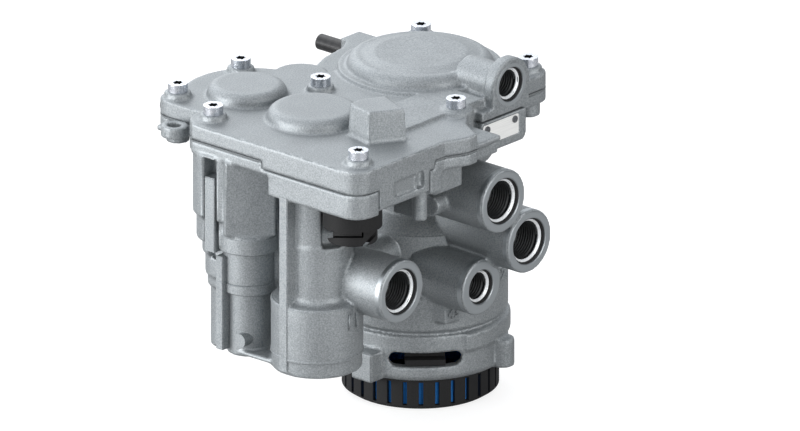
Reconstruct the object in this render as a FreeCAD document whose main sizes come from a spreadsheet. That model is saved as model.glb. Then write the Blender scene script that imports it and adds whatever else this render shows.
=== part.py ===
import FreeCAD, Part
import Sketcher
import math
import os
import re

# Trailer control valve, a die-cast aluminium pressure valve for the brake lines between a lorry and its trailer.
# Frame: the origin is the centre of the circle through the three mounting studs, in the middle plane of the
# bracket they go through; +Y points out of the rear faces, the hose ports face -Y, +Z is up.
# All lengths are millimetres.

doc = FreeCAD.newDocument("trailer_control_valve")
sheet = doc.addObject("Spreadsheet::Sheet", "Sizes")


def formula(text):
    """Turn a sum of size names into an expression that reads the sheet."""
    return re.sub(r"[A-Za-z_][A-Za-z_0-9]*", lambda word: "Sizes." + word.group(0), str(text))


def bind(thing, path, text):
    thing.setExpression(path, formula(text))


# Every driving size, in millimetres, counts and degrees apart
sizes = {
    # The casting's own datum corner, as seen from the origin: all places below count from it
    "datum_x": -8.0,
    "datum_y": -4.2,
    "datum_z": 1.5,

    # Levels, from the cover's top down to the foot
    "cover_top": 50.0,
    "cover_seat": 41.7,
    "gasket_thickness": 0.8,
    "rim_low": 37.5,
    "skirt_low": 26.8,
    "flange_low": 34.6,
    "thick_flange_low": 24.4,
    "relay_barrel_low": 6.0,
    "shoulder_high": -17.0,
    "shoulder_low": -26.6,
    "plinth_high": -56.0,
    "groove_high": -74.0,
    "groove_low": -76.4,
    "rim_bottom": -100.0,
    "column_bottom": -67.6,

    # Cover screws, cylinder heads with a six-lobed socket
    "screw_r": 3.0,
    "screw_head_r": 5.0,
    "screw_head_height": 4.4,
    "screw_length": 22.0,
    "screw_hole_r": 3.3,
    "screw_hole_low": 29.0,
    "socket_r": 2.0,
    "socket_depth": 2.6,
    "lobe_r": 0.62,
    "screw_boss_r": 6.8,
    "screw_boss_height": 3.0,
    "ear_r": 8.7,
    "rear_left_x": -75.0,
    "rear_left_y": -11.0,
    "left_x": -87.0,
    "left_y": -45.0,
    "rear_mid_x": -28.0,
    "rear_mid_y": -11.0,
    "centre_x": -21.5,
    "centre_y": -58.0,
    "near_x": -87.0,
    "near_y": -141.0,
    "rear_right_x": 67.0,
    "rear_right_y": -46.0,
    "front_mid_x": 0.0,
    "front_mid_y": -128.5,
    "front_right_x": 67.5,
    "front_right_y": -116.5,

    # Outline of the cover and of the flange under it
    "left_face": -99.7,
    "front_face": -152.0,
    "nose_face": -157.3,
    "corner_r": 10.0,
    "plate_right": -8.0,
    "plate_rear": -41.0,
    "rear_lobe_x": -45.5,
    "rear_lobe_y": -34.0,
    "rear_lobe_r": 34.6,
    "bridge_x": -9.0,
    "bridge_y": -34.0,
    "bridge_r": 13.5,
    "relay_lobe_r": 41.5,
    "nose_left": -27.0,
    "nose_plate_right": -16.5,
    "nose_ledge_right": 1.3,
    "nose_ledge_high": 44.6,
    "rim_width": 3.2,
    "rim_front": -88.0,
    "fit_gap": 0.2,

    # Domes on the cover
    "relay_x": 35.0,
    "relay_y": -74.0,
    "relay_dome_r": 36.6,
    "relay_dome_high": 57.6,
    "relay_crown_high": 58.8,
    "relay_crown_r": 23.0,
    "plateau_high": 51.8,
    "dome_round": 5.0,
    "rear_dome_x": -50.5,
    "rear_dome_y": -35.2,
    "rear_dome_r": 20.0,
    "front_dome_x": -53.5,
    "front_dome_y": -82.0,
    "front_dome_r": 23.4,
    "low_dome_high": 56.4,
    "dome_wall": 3.4,

    # Block on the cover beside the near corner
    "block_x": -51.5,
    "block_y": -121.0,
    "block_front": 15.0,
    "block_back": 11.5,
    "block_side": 12.5,
    "block_high": 66.4,
    "block_draft": 3.0,

    # Hose ports: large ones for M22 x 1.5, small ones for M16 x 1.5
    "large_boss_r": 16.25,
    "large_mouth_r": 11.9,
    "large_thread_r": 10.25,
    "small_boss_r": 14.4,
    "small_mouth_r": 8.9,
    "small_thread_r": 7.25,
    "mouth_depth": 2.4,
    "thread_depth": 17.0,
    "port_face": -146.0,
    "outlet_x": 15.5,
    "outlet_z": 2.6,
    "supply_z": -24.0,
    "left_supply_x": -60.5,
    "lower_face": -131.0,
    "lower_x": 16.0,
    "lower_z": -46.6,
    "upper_face": -134.0,
    "upper_z": 56.0,
    "upper_flange_r": 13.8,
    "upper_flange_thickness": 6.0,
    "upper_barrel_r": 9.6,
    "passage_r": 8.0,
    "small_passage_r": 5.0,
    "duct_r": 8.5,
    "duct_y": -80.0,
    "duct_z": -36.0,

    # Relay column, from the wide barrel down to the foot ring
    "relay_barrel_r": 36.0,
    "relay_neck_r": 27.0,
    "relay_wall_r": 34.0,
    "plinth_r": 43.5,
    "groove_depth": 1.9,
    "relay_bore_r": 32.0,
    "relay_bore_low": 15.0,
    "delivery_r": 22.0,
    "seat_high": -8.0,
    "seat_low": -12.0,
    "seat_r": 13.0,
    "guide_bore_high": -44.0,
    "guide_bore_r": 24.0,
    "hand_bore_high": -60.0,
    "hand_wall": 7.5,
    "end_seat": -76.0,
    "foot_wall": 5.9,
    "clip_groove_depth": 1.6,
    "end_plate_thickness": 4.0,
    "clip_thickness": 1.8,

    # Foot ring: windows for the hooks of the silencer, and two ears
    "window_high": -85.0,
    "window_low": -92.6,
    "window_half": 14.4,
    "window_turn": 225.0,
    "ear_low": -102.0,
    "ear_high": -85.5,

    # Front left column, left column and the column behind it
    "throttle_x": -76.8,
    "throttle_y": -104.6,
    "throttle_top_r": 12.5,
    "throttle_mid_r": 17.3,
    "throttle_low_r": 22.9,
    "throttle_mid_high": -1.0,
    "throttle_low_high": -31.0,
    "throttle_bore_r": 18.0,
    "throttle_bore_high": -36.0,
    "check_x": -84.0,
    "check_y": -66.0,
    "check_collar_r": 15.3,
    "check_mid_r": 12.9,
    "check_low_r": 10.9,
    "check_collar_high": -4.0,
    "check_mid_high": -12.5,
    "check_low_high": -34.5,
    "check_bore_r": 8.0,
    "check_bore_high": -14.0,
    "rear_column_x": -81.5,
    "rear_column_y": -53.0,
    "rib_thickness": 3.6,
    "hang_x": -93.6,
    "hang_y": -25.2,

    # Rear mounting pads and studs
    "stud_r": 4.0,
    "stud_root_r": 3.4,
    "stud_relief": 0.3,
    "stud_reach": 18.3,
    "stud_depth": 16.0,
    "stud_circle_r": 67.0,
    "pad_r": 10.0,
    "bracket_half": 3.0,

    # Nameplate
    "plate_left_x": 14.5,
    "plate_right_x": 41.0,
    "plate_low_z": 28.8,
    "plate_high_z": 39.3,
    "plate_thickness": 0.8,
    "recess_depth": 1.2,
    "rivet_r": 1.1,
    "rivet_head_r": 1.8,

    # Loose parts inside and below
    "running_gap": 0.05,
    "seal_r": 1.5,
    "piston_travel": 3.0,
    "valve_travel": 2.0,
    "cap_x": -79.0,
    "cap_y": -130.0,
    "cap_collar_r": 14.8,
    "cap_low_r": 12.4,
    "cap_collar_low": 13.0,
    "cap_low": 5.6,
    "cap_pin_r": 3.0,
    "cap_gap": 0.4,
    "silencer_r": 39.0,
    "silencer_low": -116.8,
    "silencer_wall": 2.2,
    "slot_count": 30,
    "slot_width": 2.2,
    "hook_reach": 3.6,
    "neck_r": 28.0,
    "filter_thickness": 7.6,
    "coil_sides": 14,
}
for row, (name, value) in enumerate(sizes.items(), start=1):
    sheet.set("A" + str(row), name)
    sheet.set("B" + str(row), str(value))
    sheet.setAlias("B" + str(row), name)
doc.recompute()


def number(name):
    """The value of a named size, for counts and angles."""
    return float(sheet.get(name))


# Small makers of solids, each bound to the sheet

def set_corner(thing, x, y, z):
    """Place a solid at a place counted from the datum."""
    bind(thing, "Placement.Base.x", "datum_x + (" + x + ")")
    bind(thing, "Placement.Base.y", "datum_y + (" + y + ")")
    bind(thing, "Placement.Base.z", "datum_z + (" + z + ")")


def box(name, x_low, x_high, y_low, y_high, z_low, z_high):
    solid = doc.addObject("Part::Box", name)
    bind(solid, "Length", "(" + x_high + ") - (" + x_low + ")")
    bind(solid, "Width", "(" + y_high + ") - (" + y_low + ")")
    bind(solid, "Height", "(" + z_high + ") - (" + z_low + ")")
    set_corner(solid, x_low, y_low, z_low)
    return solid


def post(name, x, y, z_low, z_high, radius):
    """Upright cylinder."""
    solid = doc.addObject("Part::Cylinder", name)
    bind(solid, "Radius", radius)
    bind(solid, "Height", "(" + z_high + ") - (" + z_low + ")")
    set_corner(solid, x, y, z_low)
    return solid


def cone(name, x, y, z_low, z_high, low_radius, high_radius):
    solid = doc.addObject("Part::Cone", name)
    bind(solid, "Radius1", low_radius)
    bind(solid, "Radius2", high_radius)
    bind(solid, "Height", "(" + z_high + ") - (" + z_low + ")")
    set_corner(solid, x, y, z_low)
    return solid


def ring(name, x, y, z, main_radius, round_radius):
    solid = doc.addObject("Part::Torus", name)
    bind(solid, "Radius1", main_radius)
    bind(solid, "Radius2", round_radius)
    set_corner(solid, x, y, z)
    return solid


def bar_y(name, x, z, y_low, y_high, radius):
    """Cylinder that lies along Y."""
    solid = doc.addObject("Part::Cylinder", name)
    solid.Placement = FreeCAD.Placement(FreeCAD.Vector(), FreeCAD.Rotation(FreeCAD.Vector(1, 0, 0), -90))
    bind(solid, "Radius", radius)
    bind(solid, "Height", "(" + y_high + ") - (" + y_low + ")")
    set_corner(solid, x, y_low, z)
    return solid


def bar_x(name, y, z, x_low, x_high, radius):
    """Cylinder that lies along X."""
    solid = doc.addObject("Part::Cylinder", name)
    solid.Placement = FreeCAD.Placement(FreeCAD.Vector(), FreeCAD.Rotation(FreeCAD.Vector(0, 1, 0), 90))
    bind(solid, "Radius", radius)
    bind(solid, "Height", "(" + x_high + ") - (" + x_low + ")")
    set_corner(solid, x_low, y, z)
    return solid


def join(name, solids):
    whole = doc.addObject("Part::MultiFuse", name)
    whole.Shapes = solids
    return whole


def take(name, base, tool):
    rest = doc.addObject("Part::Cut", name)
    rest.Base = base
    rest.Tool = tool
    return rest


def keep_common(name, solids):
    shared = doc.addObject("Part::MultiCommon", name)
    shared.Shapes = solids
    return shared


def group(name, solids):
    several = doc.addObject("Part::Compound", name)
    several.Links = solids
    return several


def round_disc(name, x, y, z_low, z_high, radius, edge):
    """Upright disc whose top edge is rounded."""
    inner = "(" + radius + ") - (" + edge + ")"
    below = "(" + z_high + ") - (" + edge + ")"
    return [post(name + "_wall", x, y, z_low, below, radius),
            post(name + "_core", x, y, z_low, z_high, inner),
            ring(name + "_edge", x, y, below, inner, edge)]


def draw_closed(sketch, corners):
    """Closed line through corners whose two distances come from the sheet."""
    count = len(corners)
    start = []
    for place in range(count):
        angle = 2 * math.pi * place / count
        start.append(FreeCAD.Vector(30 + 10 * math.cos(angle), 10 * math.sin(angle), 0))
    for place in range(count):
        sketch.addGeometry(Part.LineSegment(start[place], start[(place + 1) % count]), False)
    for place in range(count):
        sketch.addConstraint(Sketcher.Constraint("Coincident", place, 2, (place + 1) % count, 1))
    for place in range(count):
        across, upward = corners[place]
        first = sketch.addConstraint(Sketcher.Constraint("DistanceX", -1, 1, place, 1, start[place].x))
        bind(sketch, "Constraints[" + str(first) + "]", across)
        second = sketch.addConstraint(Sketcher.Constraint("DistanceY", -1, 1, place, 1, start[place].y))
        bind(sketch, "Constraints[" + str(second) + "]", upward)


def prism(name, corners, z_low, z_high, lean="0"):
    """Upright prism over a closed line of (x, y) corners; its sides lean in by so many degrees."""
    sketch = doc.addObject("Sketcher::SketchObject", name + "_line")
    draw_closed(sketch, corners)
    set_corner(sketch, "0", "0", z_low)
    solid = doc.addObject("Part::Extrusion", name)
    solid.Base = sketch
    solid.DirMode = "Normal"
    solid.Solid = True
    bind(solid, "LengthFwd", "(" + z_high + ") - (" + z_low + ")")
    bind(solid, "TaperAngle", "0 - (" + lean + ")")
    return solid


def seal(label, x, y, z, outer):
    """Rubber ring with an eight-sided section, flat against its groove."""
    inner = outer + " - 2 * seal_r"
    return turned(label, x, y, [
        (inner + " + 0.6 * seal_r", z + " - seal_r"), (outer + " - 0.6 * seal_r", z + " - seal_r"),
        (outer, z + " - 0.4 * seal_r"), (outer, z + " + 0.4 * seal_r"),
        (outer + " - 0.6 * seal_r", z + " + seal_r"), (inner + " + 0.6 * seal_r", z + " + seal_r"),
        (inner, z + " + 0.4 * seal_r"), (inner, z + " - 0.4 * seal_r")])


def turned(label, x, y, profile):
    """Turned piece: a closed profile of (radius, height) corners, revolved about an upright axis."""
    body = doc.addObject("PartDesign::Body", label)
    sketch = body.newObject("Sketcher::SketchObject", label + "_profile")
    sketch.Placement = FreeCAD.Placement(FreeCAD.Vector(), FreeCAD.Rotation(FreeCAD.Vector(1, 0, 0), 90))
    draw_closed(sketch, profile)
    turn = body.newObject("PartDesign::Revolution", label + "_turn")
    turn.Profile = sketch
    turn.ReferenceAxis = (sketch, ["V_Axis"])
    turn.Angle = 360
    set_corner(body, x, y, "0")
    return body


screw_places = [("rear_left_x", "rear_left_y"), ("left_x", "left_y"), ("rear_mid_x", "rear_mid_y"),
                ("centre_x", "centre_y"), ("near_x", "near_y"), ("rear_right_x", "rear_right_y"),
                ("front_mid_x", "front_mid_y"), ("front_right_x", "front_right_y")]


def outline(name, z_low, z_high):
    """The shape shared by the cover, the gasket and the flange, between two levels."""
    solids = [
        box(name + "_main", "left_face", "plate_right", "front_face + corner_r", "plate_rear", z_low, z_high),
        box(name + "_front", "left_face + corner_r", "nose_left", "front_face", "front_face + corner_r + 5",
            z_low, z_high),
        post(name + "_corner", "left_face + corner_r", "front_face + corner_r", z_low, z_high, "corner_r"),
        prism(name + "_nose", [
            ("nose_left - 8", "front_face"), ("nose_left - 1", "front_face - 3.4"),
            ("nose_left + 5", "nose_face"), ("nose_plate_right", "nose_face"),
            ("plate_right - 0.6", "front_face + 9"), ("front_mid_x + ear_r - 0.6", "front_mid_y - 2"),
            ("front_mid_x", "front_mid_y + 4"), ("nose_left - 8", "front_mid_y + 4")], z_low, z_high),
        post(name + "_front_mid", "front_mid_x", "front_mid_y", z_low, z_high, "ear_r"),
        post(name + "_rear_lobe", "rear_lobe_x", "rear_lobe_y", z_low, z_high, "rear_lobe_r"),
        post(name + "_bridge", "bridge_x", "bridge_y", z_low, z_high, "bridge_r"),
        post(name + "_relay_lobe", "relay_x", "relay_y", z_low, z_high, "relay_lobe_r"),
        box(name + "_middle", "plate_right - 5", "relay_x", "front_mid_y", "relay_y + 30", z_low, z_high),
        post(name + "_rear_left", "rear_left_x", "rear_left_y", z_low, z_high, "ear_r"),
        box(name + "_rear_left_arm", "rear_left_x - ear_r", "rear_dome_x - 10", "rear_left_y - 30",
            "rear_left_y", z_low, z_high),
        post(name + "_left", "left_x", "left_y", z_low, z_high, "ear_r + 3"),
        post(name + "_rear_right", "rear_right_x", "rear_right_y", z_low, z_high, "ear_r"),
        post(name + "_front_right", "front_right_x", "front_right_y", z_low, z_high, "ear_r"),
        box(name + "_front_right_arm", "relay_x", "front_right_x", "front_right_y - ear_r",
            "front_right_y + ear_r", z_low, z_high),
    ]
    return solids


# Top cover: plate, domes, block, upper port with its flange
cover_add = outline("cover", "cover_seat", "cover_top")
cover_add += round_disc("relay_dome", "relay_x", "relay_y", "cover_top - 1", "relay_dome_high",
                        "relay_dome_r", "dome_round + 1")
cover_add += [cone("relay_crown", "relay_x", "relay_y", "relay_dome_high - 0.01", "relay_crown_high",
                   "relay_crown_r + 6", "relay_crown_r"),
              post("plateau_disc", "relay_x", "relay_y", "cover_seat", "plateau_high", "relay_lobe_r - 0.4"),
              box("plateau_band", "plate_right - 32", "relay_x - 15", "front_mid_y - 0.6", "front_mid_y + 28",
                  "cover_seat", "plateau_high"),
              post("plateau_boss", "front_mid_x", "front_mid_y", "cover_seat", "plateau_high", "ear_r")]
cover_add += round_disc("rear_dome", "rear_dome_x", "rear_dome_y", "cover_top - 1", "low_dome_high",
                        "rear_dome_r", "dome_round")
cover_add += round_disc("front_dome", "front_dome_x", "front_dome_y", "cover_top - 1", "low_dome_high",
                        "front_dome_r", "dome_round")
for place, (x, y) in enumerate(screw_places):
    cover_add.append(post("cover_boss_" + str(place + 1), x, y, "cover_seat", "cover_top + screw_boss_height",
                          "screw_boss_r"))
cover_add.append(box("nose_ledge", "nose_plate_right - 5", "nose_ledge_right", "nose_face", "upper_face + 8",
                     "cover_seat", "nose_ledge_high"))
cover_add += [bar_y("upper_barrel", "relay_x", "upper_z - 1", "upper_face + 2", "relay_y - 18",
                    "upper_barrel_r"),
              bar_y("upper_round", "relay_x", "upper_z", "upper_face", "upper_face + upper_flange_thickness",
                    "upper_flange_r"),
              box("upper_square", "relay_x - upper_flange_r", "relay_x + upper_flange_r", "upper_face",
                  "upper_face + upper_flange_thickness", "cover_seat", "upper_z"),
              box("upper_foot", "relay_x - 22", "relay_x + upper_flange_r", "upper_face",
                  "upper_face + upper_flange_thickness", "cover_seat", "upper_z - 9.6"),
              box("upper_web", "relay_x - upper_barrel_r", "relay_x + upper_barrel_r", "upper_face + 2",
                  "relay_y - 25", "cover_seat", "upper_z - 1")]

# The block has five sides and leans in a little
block = prism("cover_block", [
    ("block_x - 12.4", "block_y - 5.6"), ("block_x + 5.4", "block_y - block_front - 1.8"),
    ("block_x + block_side + 1.6", "block_y + 5.4"), ("block_x", "block_y + block_back + 1"),
    ("block_x - 9", "block_y + block_back")], "cover_seat", "block_high", "block_draft")
cover_add.append(block)

# Rim that hangs over the flange at the left and round the near corner, and the deeper skirt at the front
rim_add = [box("rim_left", "left_face", "left_face + rim_width", "front_face + corner_r", "rim_front",
               "rim_low", "cover_seat + 1"),
           box("rim_front_box", "left_face + corner_r", "nose_left - 15", "front_face",
               "front_face + rim_width", "rim_low", "cover_seat + 1"),
           take("rim_corner", keep_common("rim_corner_quarter", [
               post("rim_corner_post", "left_face + corner_r", "front_face + corner_r", "rim_low",
                    "cover_seat + 1", "corner_r"),
               box("rim_corner_box", "left_face", "left_face + corner_r", "front_face",
                   "front_face + corner_r", "rim_low", "cover_seat + 1")]),
               post("rim_corner_core", "left_face + corner_r", "front_face + corner_r", "rim_low - 1",
                    "cover_seat + 2", "corner_r - rim_width")),
           box("skirt", "left_face + 16.3", "left_face + 53.7", "front_face", "front_face + rim_width",
               "skirt_low", "cover_seat + 1")]
cover_solid = join("cover_solid", cover_add + rim_add)

cover_remove = []
for place, (x, y) in enumerate(screw_places):
    cover_remove.append(post("cover_hole_" + str(place + 1), x, y, "cover_seat - 1",
                             "cover_top + screw_boss_height + 1", "screw_hole_r"))
cover_remove += [
    post("control_chamber", "relay_x", "relay_y", "cover_seat - 1", "relay_dome_high - dome_wall",
         "relay_bore_r - 1"),
    post("rear_chamber", "rear_dome_x", "rear_dome_y", "cover_seat - 1", "low_dome_high - dome_wall",
         "rear_dome_r - dome_wall - 1.5"),
    post("front_chamber", "front_dome_x", "front_dome_y", "cover_seat - 1", "low_dome_high - dome_wall",
         "front_dome_r - dome_wall - 1.5"),
    post("block_core", "block_x", "block_y", "cover_seat - 1", "block_high - dome_wall", "7"),
    bar_y("upper_mouth", "relay_x", "upper_z", "upper_face - 1", "upper_face + mouth_depth", "small_mouth_r"),
    bar_y("upper_thread", "relay_x", "upper_z", "upper_face", "upper_face + thread_depth", "small_thread_r"),
    bar_y("upper_passage", "relay_x", "upper_z - 4.2", "upper_face + thread_depth - 3",
          "relay_y - relay_bore_r + 6", "small_passage_r - 2"),
    box("skirt_recess", "left_face + 27.5", "left_face + 44", "front_face - 1", "front_face + 1.2",
        "skirt_low + 3.2", "cover_seat - 3"),
    box("skirt_slot", "left_face + 44.5", "left_face + 49.5", "front_face - 1", "front_face + 2.4",
        "skirt_low + 3.2", "cover_seat - 3"),
]
top_cover = take("top_cover", cover_solid, join("cover_holes", cover_remove))

# Gasket between the cover and the housing
gasket_solid = join("gasket_solid", outline("gasket", "cover_seat - gasket_thickness", "cover_seat"))
gasket_remove = [
    post("gasket_relay", "relay_x", "relay_y", "cover_seat - 5", "cover_seat + 1", "relay_bore_r - 0.5"),
    post("gasket_rear", "rear_dome_x", "rear_dome_y", "cover_seat - 5", "cover_seat + 1",
         "rear_dome_r - dome_wall - 1.5"),
    post("gasket_front", "front_dome_x", "front_dome_y", "cover_seat - 5", "cover_seat + 1",
         "front_dome_r - dome_wall - 1.5"),
    box("gasket_rim_left", "left_face - 5", "left_face + rim_width + fit_gap", "front_face - 5",
        "rim_front + fit_gap", "cover_seat - 5", "cover_seat + 1"),
    box("gasket_rim_front", "left_face - 5", "nose_left - 15 + fit_gap", "front_face - 5",
        "front_face + rim_width + fit_gap", "cover_seat - 5", "cover_seat + 1"),
    take("gasket_rim_corner",
         box("gasket_corner_box", "left_face - 1", "left_face + corner_r", "front_face - 1",
             "front_face + corner_r", "cover_seat - 5", "cover_seat + 1"),
         post("gasket_corner_core", "left_face + corner_r", "front_face + corner_r", "cover_seat - 6",
              "cover_seat + 2", "corner_r - rim_width - fit_gap")),
]
for place, (x, y) in enumerate(screw_places):
    gasket_remove.append(post("gasket_hole_" + str(place + 1), x, y, "cover_seat - 5", "cover_seat + 1",
                              "screw_hole_r"))
cover_gasket = take("cover_gasket", gasket_solid, join("gasket_holes", gasket_remove))

# Housing
seat = "cover_seat - gasket_thickness"
hand_bore_r = "(plinth_r - hand_wall)"
end_bore_r = "(plinth_r - foot_wall)"
end_groove_r = "(plinth_r - foot_wall + clip_groove_depth)"
body_add = outline("flange", "flange_low", seat)
body_add += [
    box("thick_flange", "left_face", "nose_left - 10", "front_face + corner_r", "front_face + 60",
        "thick_flange_low", seat),
    box("thick_front", "left_face + corner_r", "nose_left - 10", "front_face", "front_face + corner_r + 5",
        "thick_flange_low", seat),
    post("thick_corner", "left_face + corner_r", "front_face + corner_r", "thick_flange_low", seat, "corner_r"),
    box("nose_block", "nose_left - 14", "nose_left + 7", "front_face + 1.5", "front_face + 30",
        "thick_flange_low - 2", seat),
    box("ledge_block", "nose_plate_right - 5", "nose_ledge_right", "nose_face + 2", "upper_face + 10",
        "flange_low", seat),
    box("nameplate_block", "relay_x - 22", "relay_x + 11.4", "upper_face",
        "upper_face + upper_flange_thickness", "thick_flange_low + 4", seat),
    box("nameplate_low", "relay_x - 22", "relay_x + 7.4", "upper_face",
        "upper_face + upper_flange_thickness", "thick_flange_low", "thick_flange_low + 5"),
    bar_y("nameplate_corner", "relay_x + 7.4", "thick_flange_low + 4", "upper_face",
          "upper_face + upper_flange_thickness", "4"),
    box("nameplate_web", "relay_x - 22", "relay_x + 11.4", "upper_face", "relay_y - 28",
        "flange_low", seat),
    post("relay_barrel", "relay_x", "relay_y", "relay_barrel_low", seat, "relay_barrel_r"),
    post("relay_neck", "relay_x", "relay_y", "shoulder_low", "relay_barrel_low + 1", "relay_neck_r"),
    cone("relay_shoulder", "relay_x", "relay_y", "shoulder_low", "shoulder_high", "relay_wall_r",
         "relay_neck_r - 1"),
    post("relay_wall", "relay_x", "relay_y", "plinth_high - 1", "shoulder_low", "relay_wall_r"),
    post("plinth", "relay_x", "relay_y", "groove_high", "plinth_high", "plinth_r"),
    post("plinth_groove", "relay_x", "relay_y", "groove_low - 1", "groove_high + 1", "plinth_r - groove_depth"),
    post("foot_ring", "relay_x", "relay_y", "rim_bottom + 2", "groove_low", "plinth_r"),
    cone("foot_rim", "relay_x", "relay_y", "rim_bottom", "rim_bottom + 2", "plinth_r - 1.6", "plinth_r"),
    keep_common("foot_pad", [
        post("foot_pad_disc", "relay_x", "relay_y", "window_high - 0.7", "groove_low - 0.8", "plinth_r + 1.2"),
        box("foot_pad_box", "relay_x - 14", "relay_x + 36", "relay_y - 60", "relay_y - 20",
            "window_high - 0.7", "groove_low - 0.8")]),
    box("foot_ear_left", "relay_x - 50.5", "relay_x - 38", "relay_y - 12", "relay_y + 1", "rim_bottom",
        "window_high"),
    post("foot_ear_right", "relay_x + 13.2", "relay_y - 42.5", "ear_low + 2", "ear_high", "6"),
    bar_y("side_tube", "relay_x - 33.5", "0", "port_face + 24", "relay_y - 24", "5"),
    bar_y("outlet_barrel", "outlet_x", "outlet_z", "port_face", "relay_y - 22", "large_boss_r"),
    bar_y("supply_barrel", "relay_x", "supply_z", "port_face", "relay_y - 20", "large_boss_r"),
    bar_y("left_supply_barrel", "left_supply_x", "supply_z", "port_face", "throttle_y + 8", "large_boss_r"),
    bar_y("lower_barrel", "lower_x", "lower_z", "lower_face", "relay_y - 20", "small_boss_r"),
    bar_x("supply_duct", "duct_y", "duct_z", "left_supply_x", "relay_x - 12", "duct_r"),
    post("duct_end", "left_supply_x", "duct_y", "duct_z - duct_r + 2", "supply_z + 6", "duct_r"),
    bar_y("left_supply_back", "left_supply_x", "supply_z", "throttle_y", "duct_y", "duct_r"),
    post("throttle_top", "throttle_x", "throttle_y", "throttle_mid_high - 1", "thick_flange_low + 1",
         "throttle_top_r"),
    post("throttle_mid", "throttle_x", "throttle_y", "throttle_low_high - 1", "throttle_mid_high",
         "throttle_mid_r"),
    cone("throttle_step", "throttle_x", "throttle_y", "throttle_low_high - 1.6", "throttle_low_high",
         "throttle_low_r", "throttle_low_r - 1"),
    post("throttle_low", "throttle_x", "throttle_y", "column_bottom + 8.5", "throttle_low_high - 1.6",
         "throttle_low_r"),
    post("throttle_band", "throttle_x", "throttle_y", "column_bottom", "column_bottom + 9",
         "throttle_low_r - 0.5"),
    box("throttle_rib", "left_face - 0.2", "throttle_x - 8", "throttle_y - 0.6",
        "throttle_y - 0.6 + rib_thickness", "column_bottom + 1.5", "thick_flange_low + 1"),
    post("check_collar", "check_x", "check_y", "check_mid_high", "check_collar_high", "check_collar_r"),
    post("check_mid", "check_x", "check_y", "check_low_high + 5", "check_mid_high + 1", "check_mid_r"),
    post("check_band", "check_x", "check_y", "check_low_high", "check_low_high + 4.6", "check_mid_r - 0.5"),
    post("check_low", "check_x", "check_y", "column_bottom", "check_low_high + 6", "check_low_r"),
    bar_x("check_pin", "check_y", "column_bottom + 7.6", "check_x - 12.4", "check_x", "3.5"),
    post("rear_column_top", "rear_column_x", "rear_column_y", "relay_barrel_low - 3.5", "flange_low + 1",
         "19.8"),
    post("rear_column_two", "rear_column_x", "rear_column_y", "0 - 11", "relay_barrel_low - 3", "18"),
    post("rear_column_three", "rear_column_x", "rear_column_y", "0 - 18.6", "0 - 10", "15.1"),
    post("rear_column_four", "rear_column_x", "rear_column_y", "0 - 30", "0 - 18", "13.6"),
    post("rear_column_five", "rear_column_x", "rear_column_y", "0 - 36", "0 - 29", "12.4"),
    post("rear_column_low", "rear_column_x", "rear_column_y", "column_bottom", "0 - 35", "check_low_r"),
    box("column_web", "left_face + 4.6", "check_x", "throttle_y + 6", "check_y", "column_bottom + 1.2",
        "column_bottom + 3.6"),
    box("column_wall", "check_x + 6", "check_x + 9", "throttle_y + 8", "check_y", "column_bottom + 4",
        "flange_low + 1"),
    box("guard_wall", "left_face + 52", "left_face + 54.6", "front_face + 6", "front_face + 23",
        "thick_flange_low - 14", "thick_flange_low + 1"),
    post("guard_post", "left_face + 53.4", "front_face + 6.6", "thick_flange_low - 14",
         "thick_flange_low + 1", "3.7"),
    post("vent_seat", "cap_x", "cap_y", "thick_flange_low - 2", "thick_flange_low + 1", "cap_low_r"),
]
check_block = box("check_block", "check_x", "check_x + 25.6", "check_y", "check_y + 26",
                  "check_collar_high + 0.8", "flange_low + 1")
check_block.Placement = FreeCAD.Placement(FreeCAD.Vector(), FreeCAD.Rotation(-45, 0, 0))
set_corner(check_block, "check_x - 18.3", "check_y", "check_collar_high + 0.8")
body_add.append(check_block)

# Rear pads that carry the studs, each tied to the casting by a web
stud_right_x = "(stud_circle_r * 0.8660254 - datum_x)"
stud_left_x = "(0 - stud_circle_r * 0.8660254 - datum_x)"
stud_low_x = "(0 - datum_x)"
stud_high = "(stud_circle_r / 2 - datum_z)"
stud_low = "(0 - stud_circle_r - datum_z)"
rear_face = "(0 - datum_y - bracket_half)"
body_add += [
    box("pad_right", stud_right_x + " - 5.8", stud_right_x + " + 8", rear_face + " - stud_depth - 4",
        rear_face, stud_high + " - 8", "cover_seat - 1.8"),
    prism("pad_right_web", [
        (stud_right_x + " - 5", "0 - 2"), (stud_right_x + " - 14", "0 - 7.6"), ("relay_x", "0 - 10.2"),
        ("relay_x - 11.6", "0 - 14.9"), ("relay_x - 26", "0 - 29"), ("relay_x", "relay_y + 30"),
        (stud_right_x + " + 7", "rear_right_y"), (stud_right_x + " + 7", "0 - 2")],
          "flange_low", "cover_seat - 1.8"),
    box("pad_left", stud_left_x + " - 7", stud_left_x + " + 7", rear_face + " - stud_depth - 4",
        rear_face, stud_high + " - 8", "cover_seat - 1.8"),
    bar_y("pad_low", stud_low_x, stud_low, "relay_y + 15", rear_face, "pad_r"),
    prism("pad_low_web", [("relay_x - 30", "relay_y + 12"), (stud_low_x + " - 5", "0 - 24"),
                          (stud_low_x + " + 5", "0 - 24"), ("relay_x + 4", "relay_y + 30")],
          stud_low + " - 3", stud_low + " + 3"),
    post("hang_ear", "hang_x", "hang_y", "flange_low + 3.4", "cover_seat + 2.2", "6.8"),
    box("hang_ear_arm", "hang_x", "hang_x + 20", "hang_y - 6.8", "hang_y + 12", "flange_low + 3.4", seat),
]
for place, (x, y) in enumerate(screw_places):
    body_add.append(post("body_boss_" + str(place + 1), x, y, "screw_hole_low - 2", seat, "screw_boss_r - 0.9"))
body_solid = join("body_solid", body_add)

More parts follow.
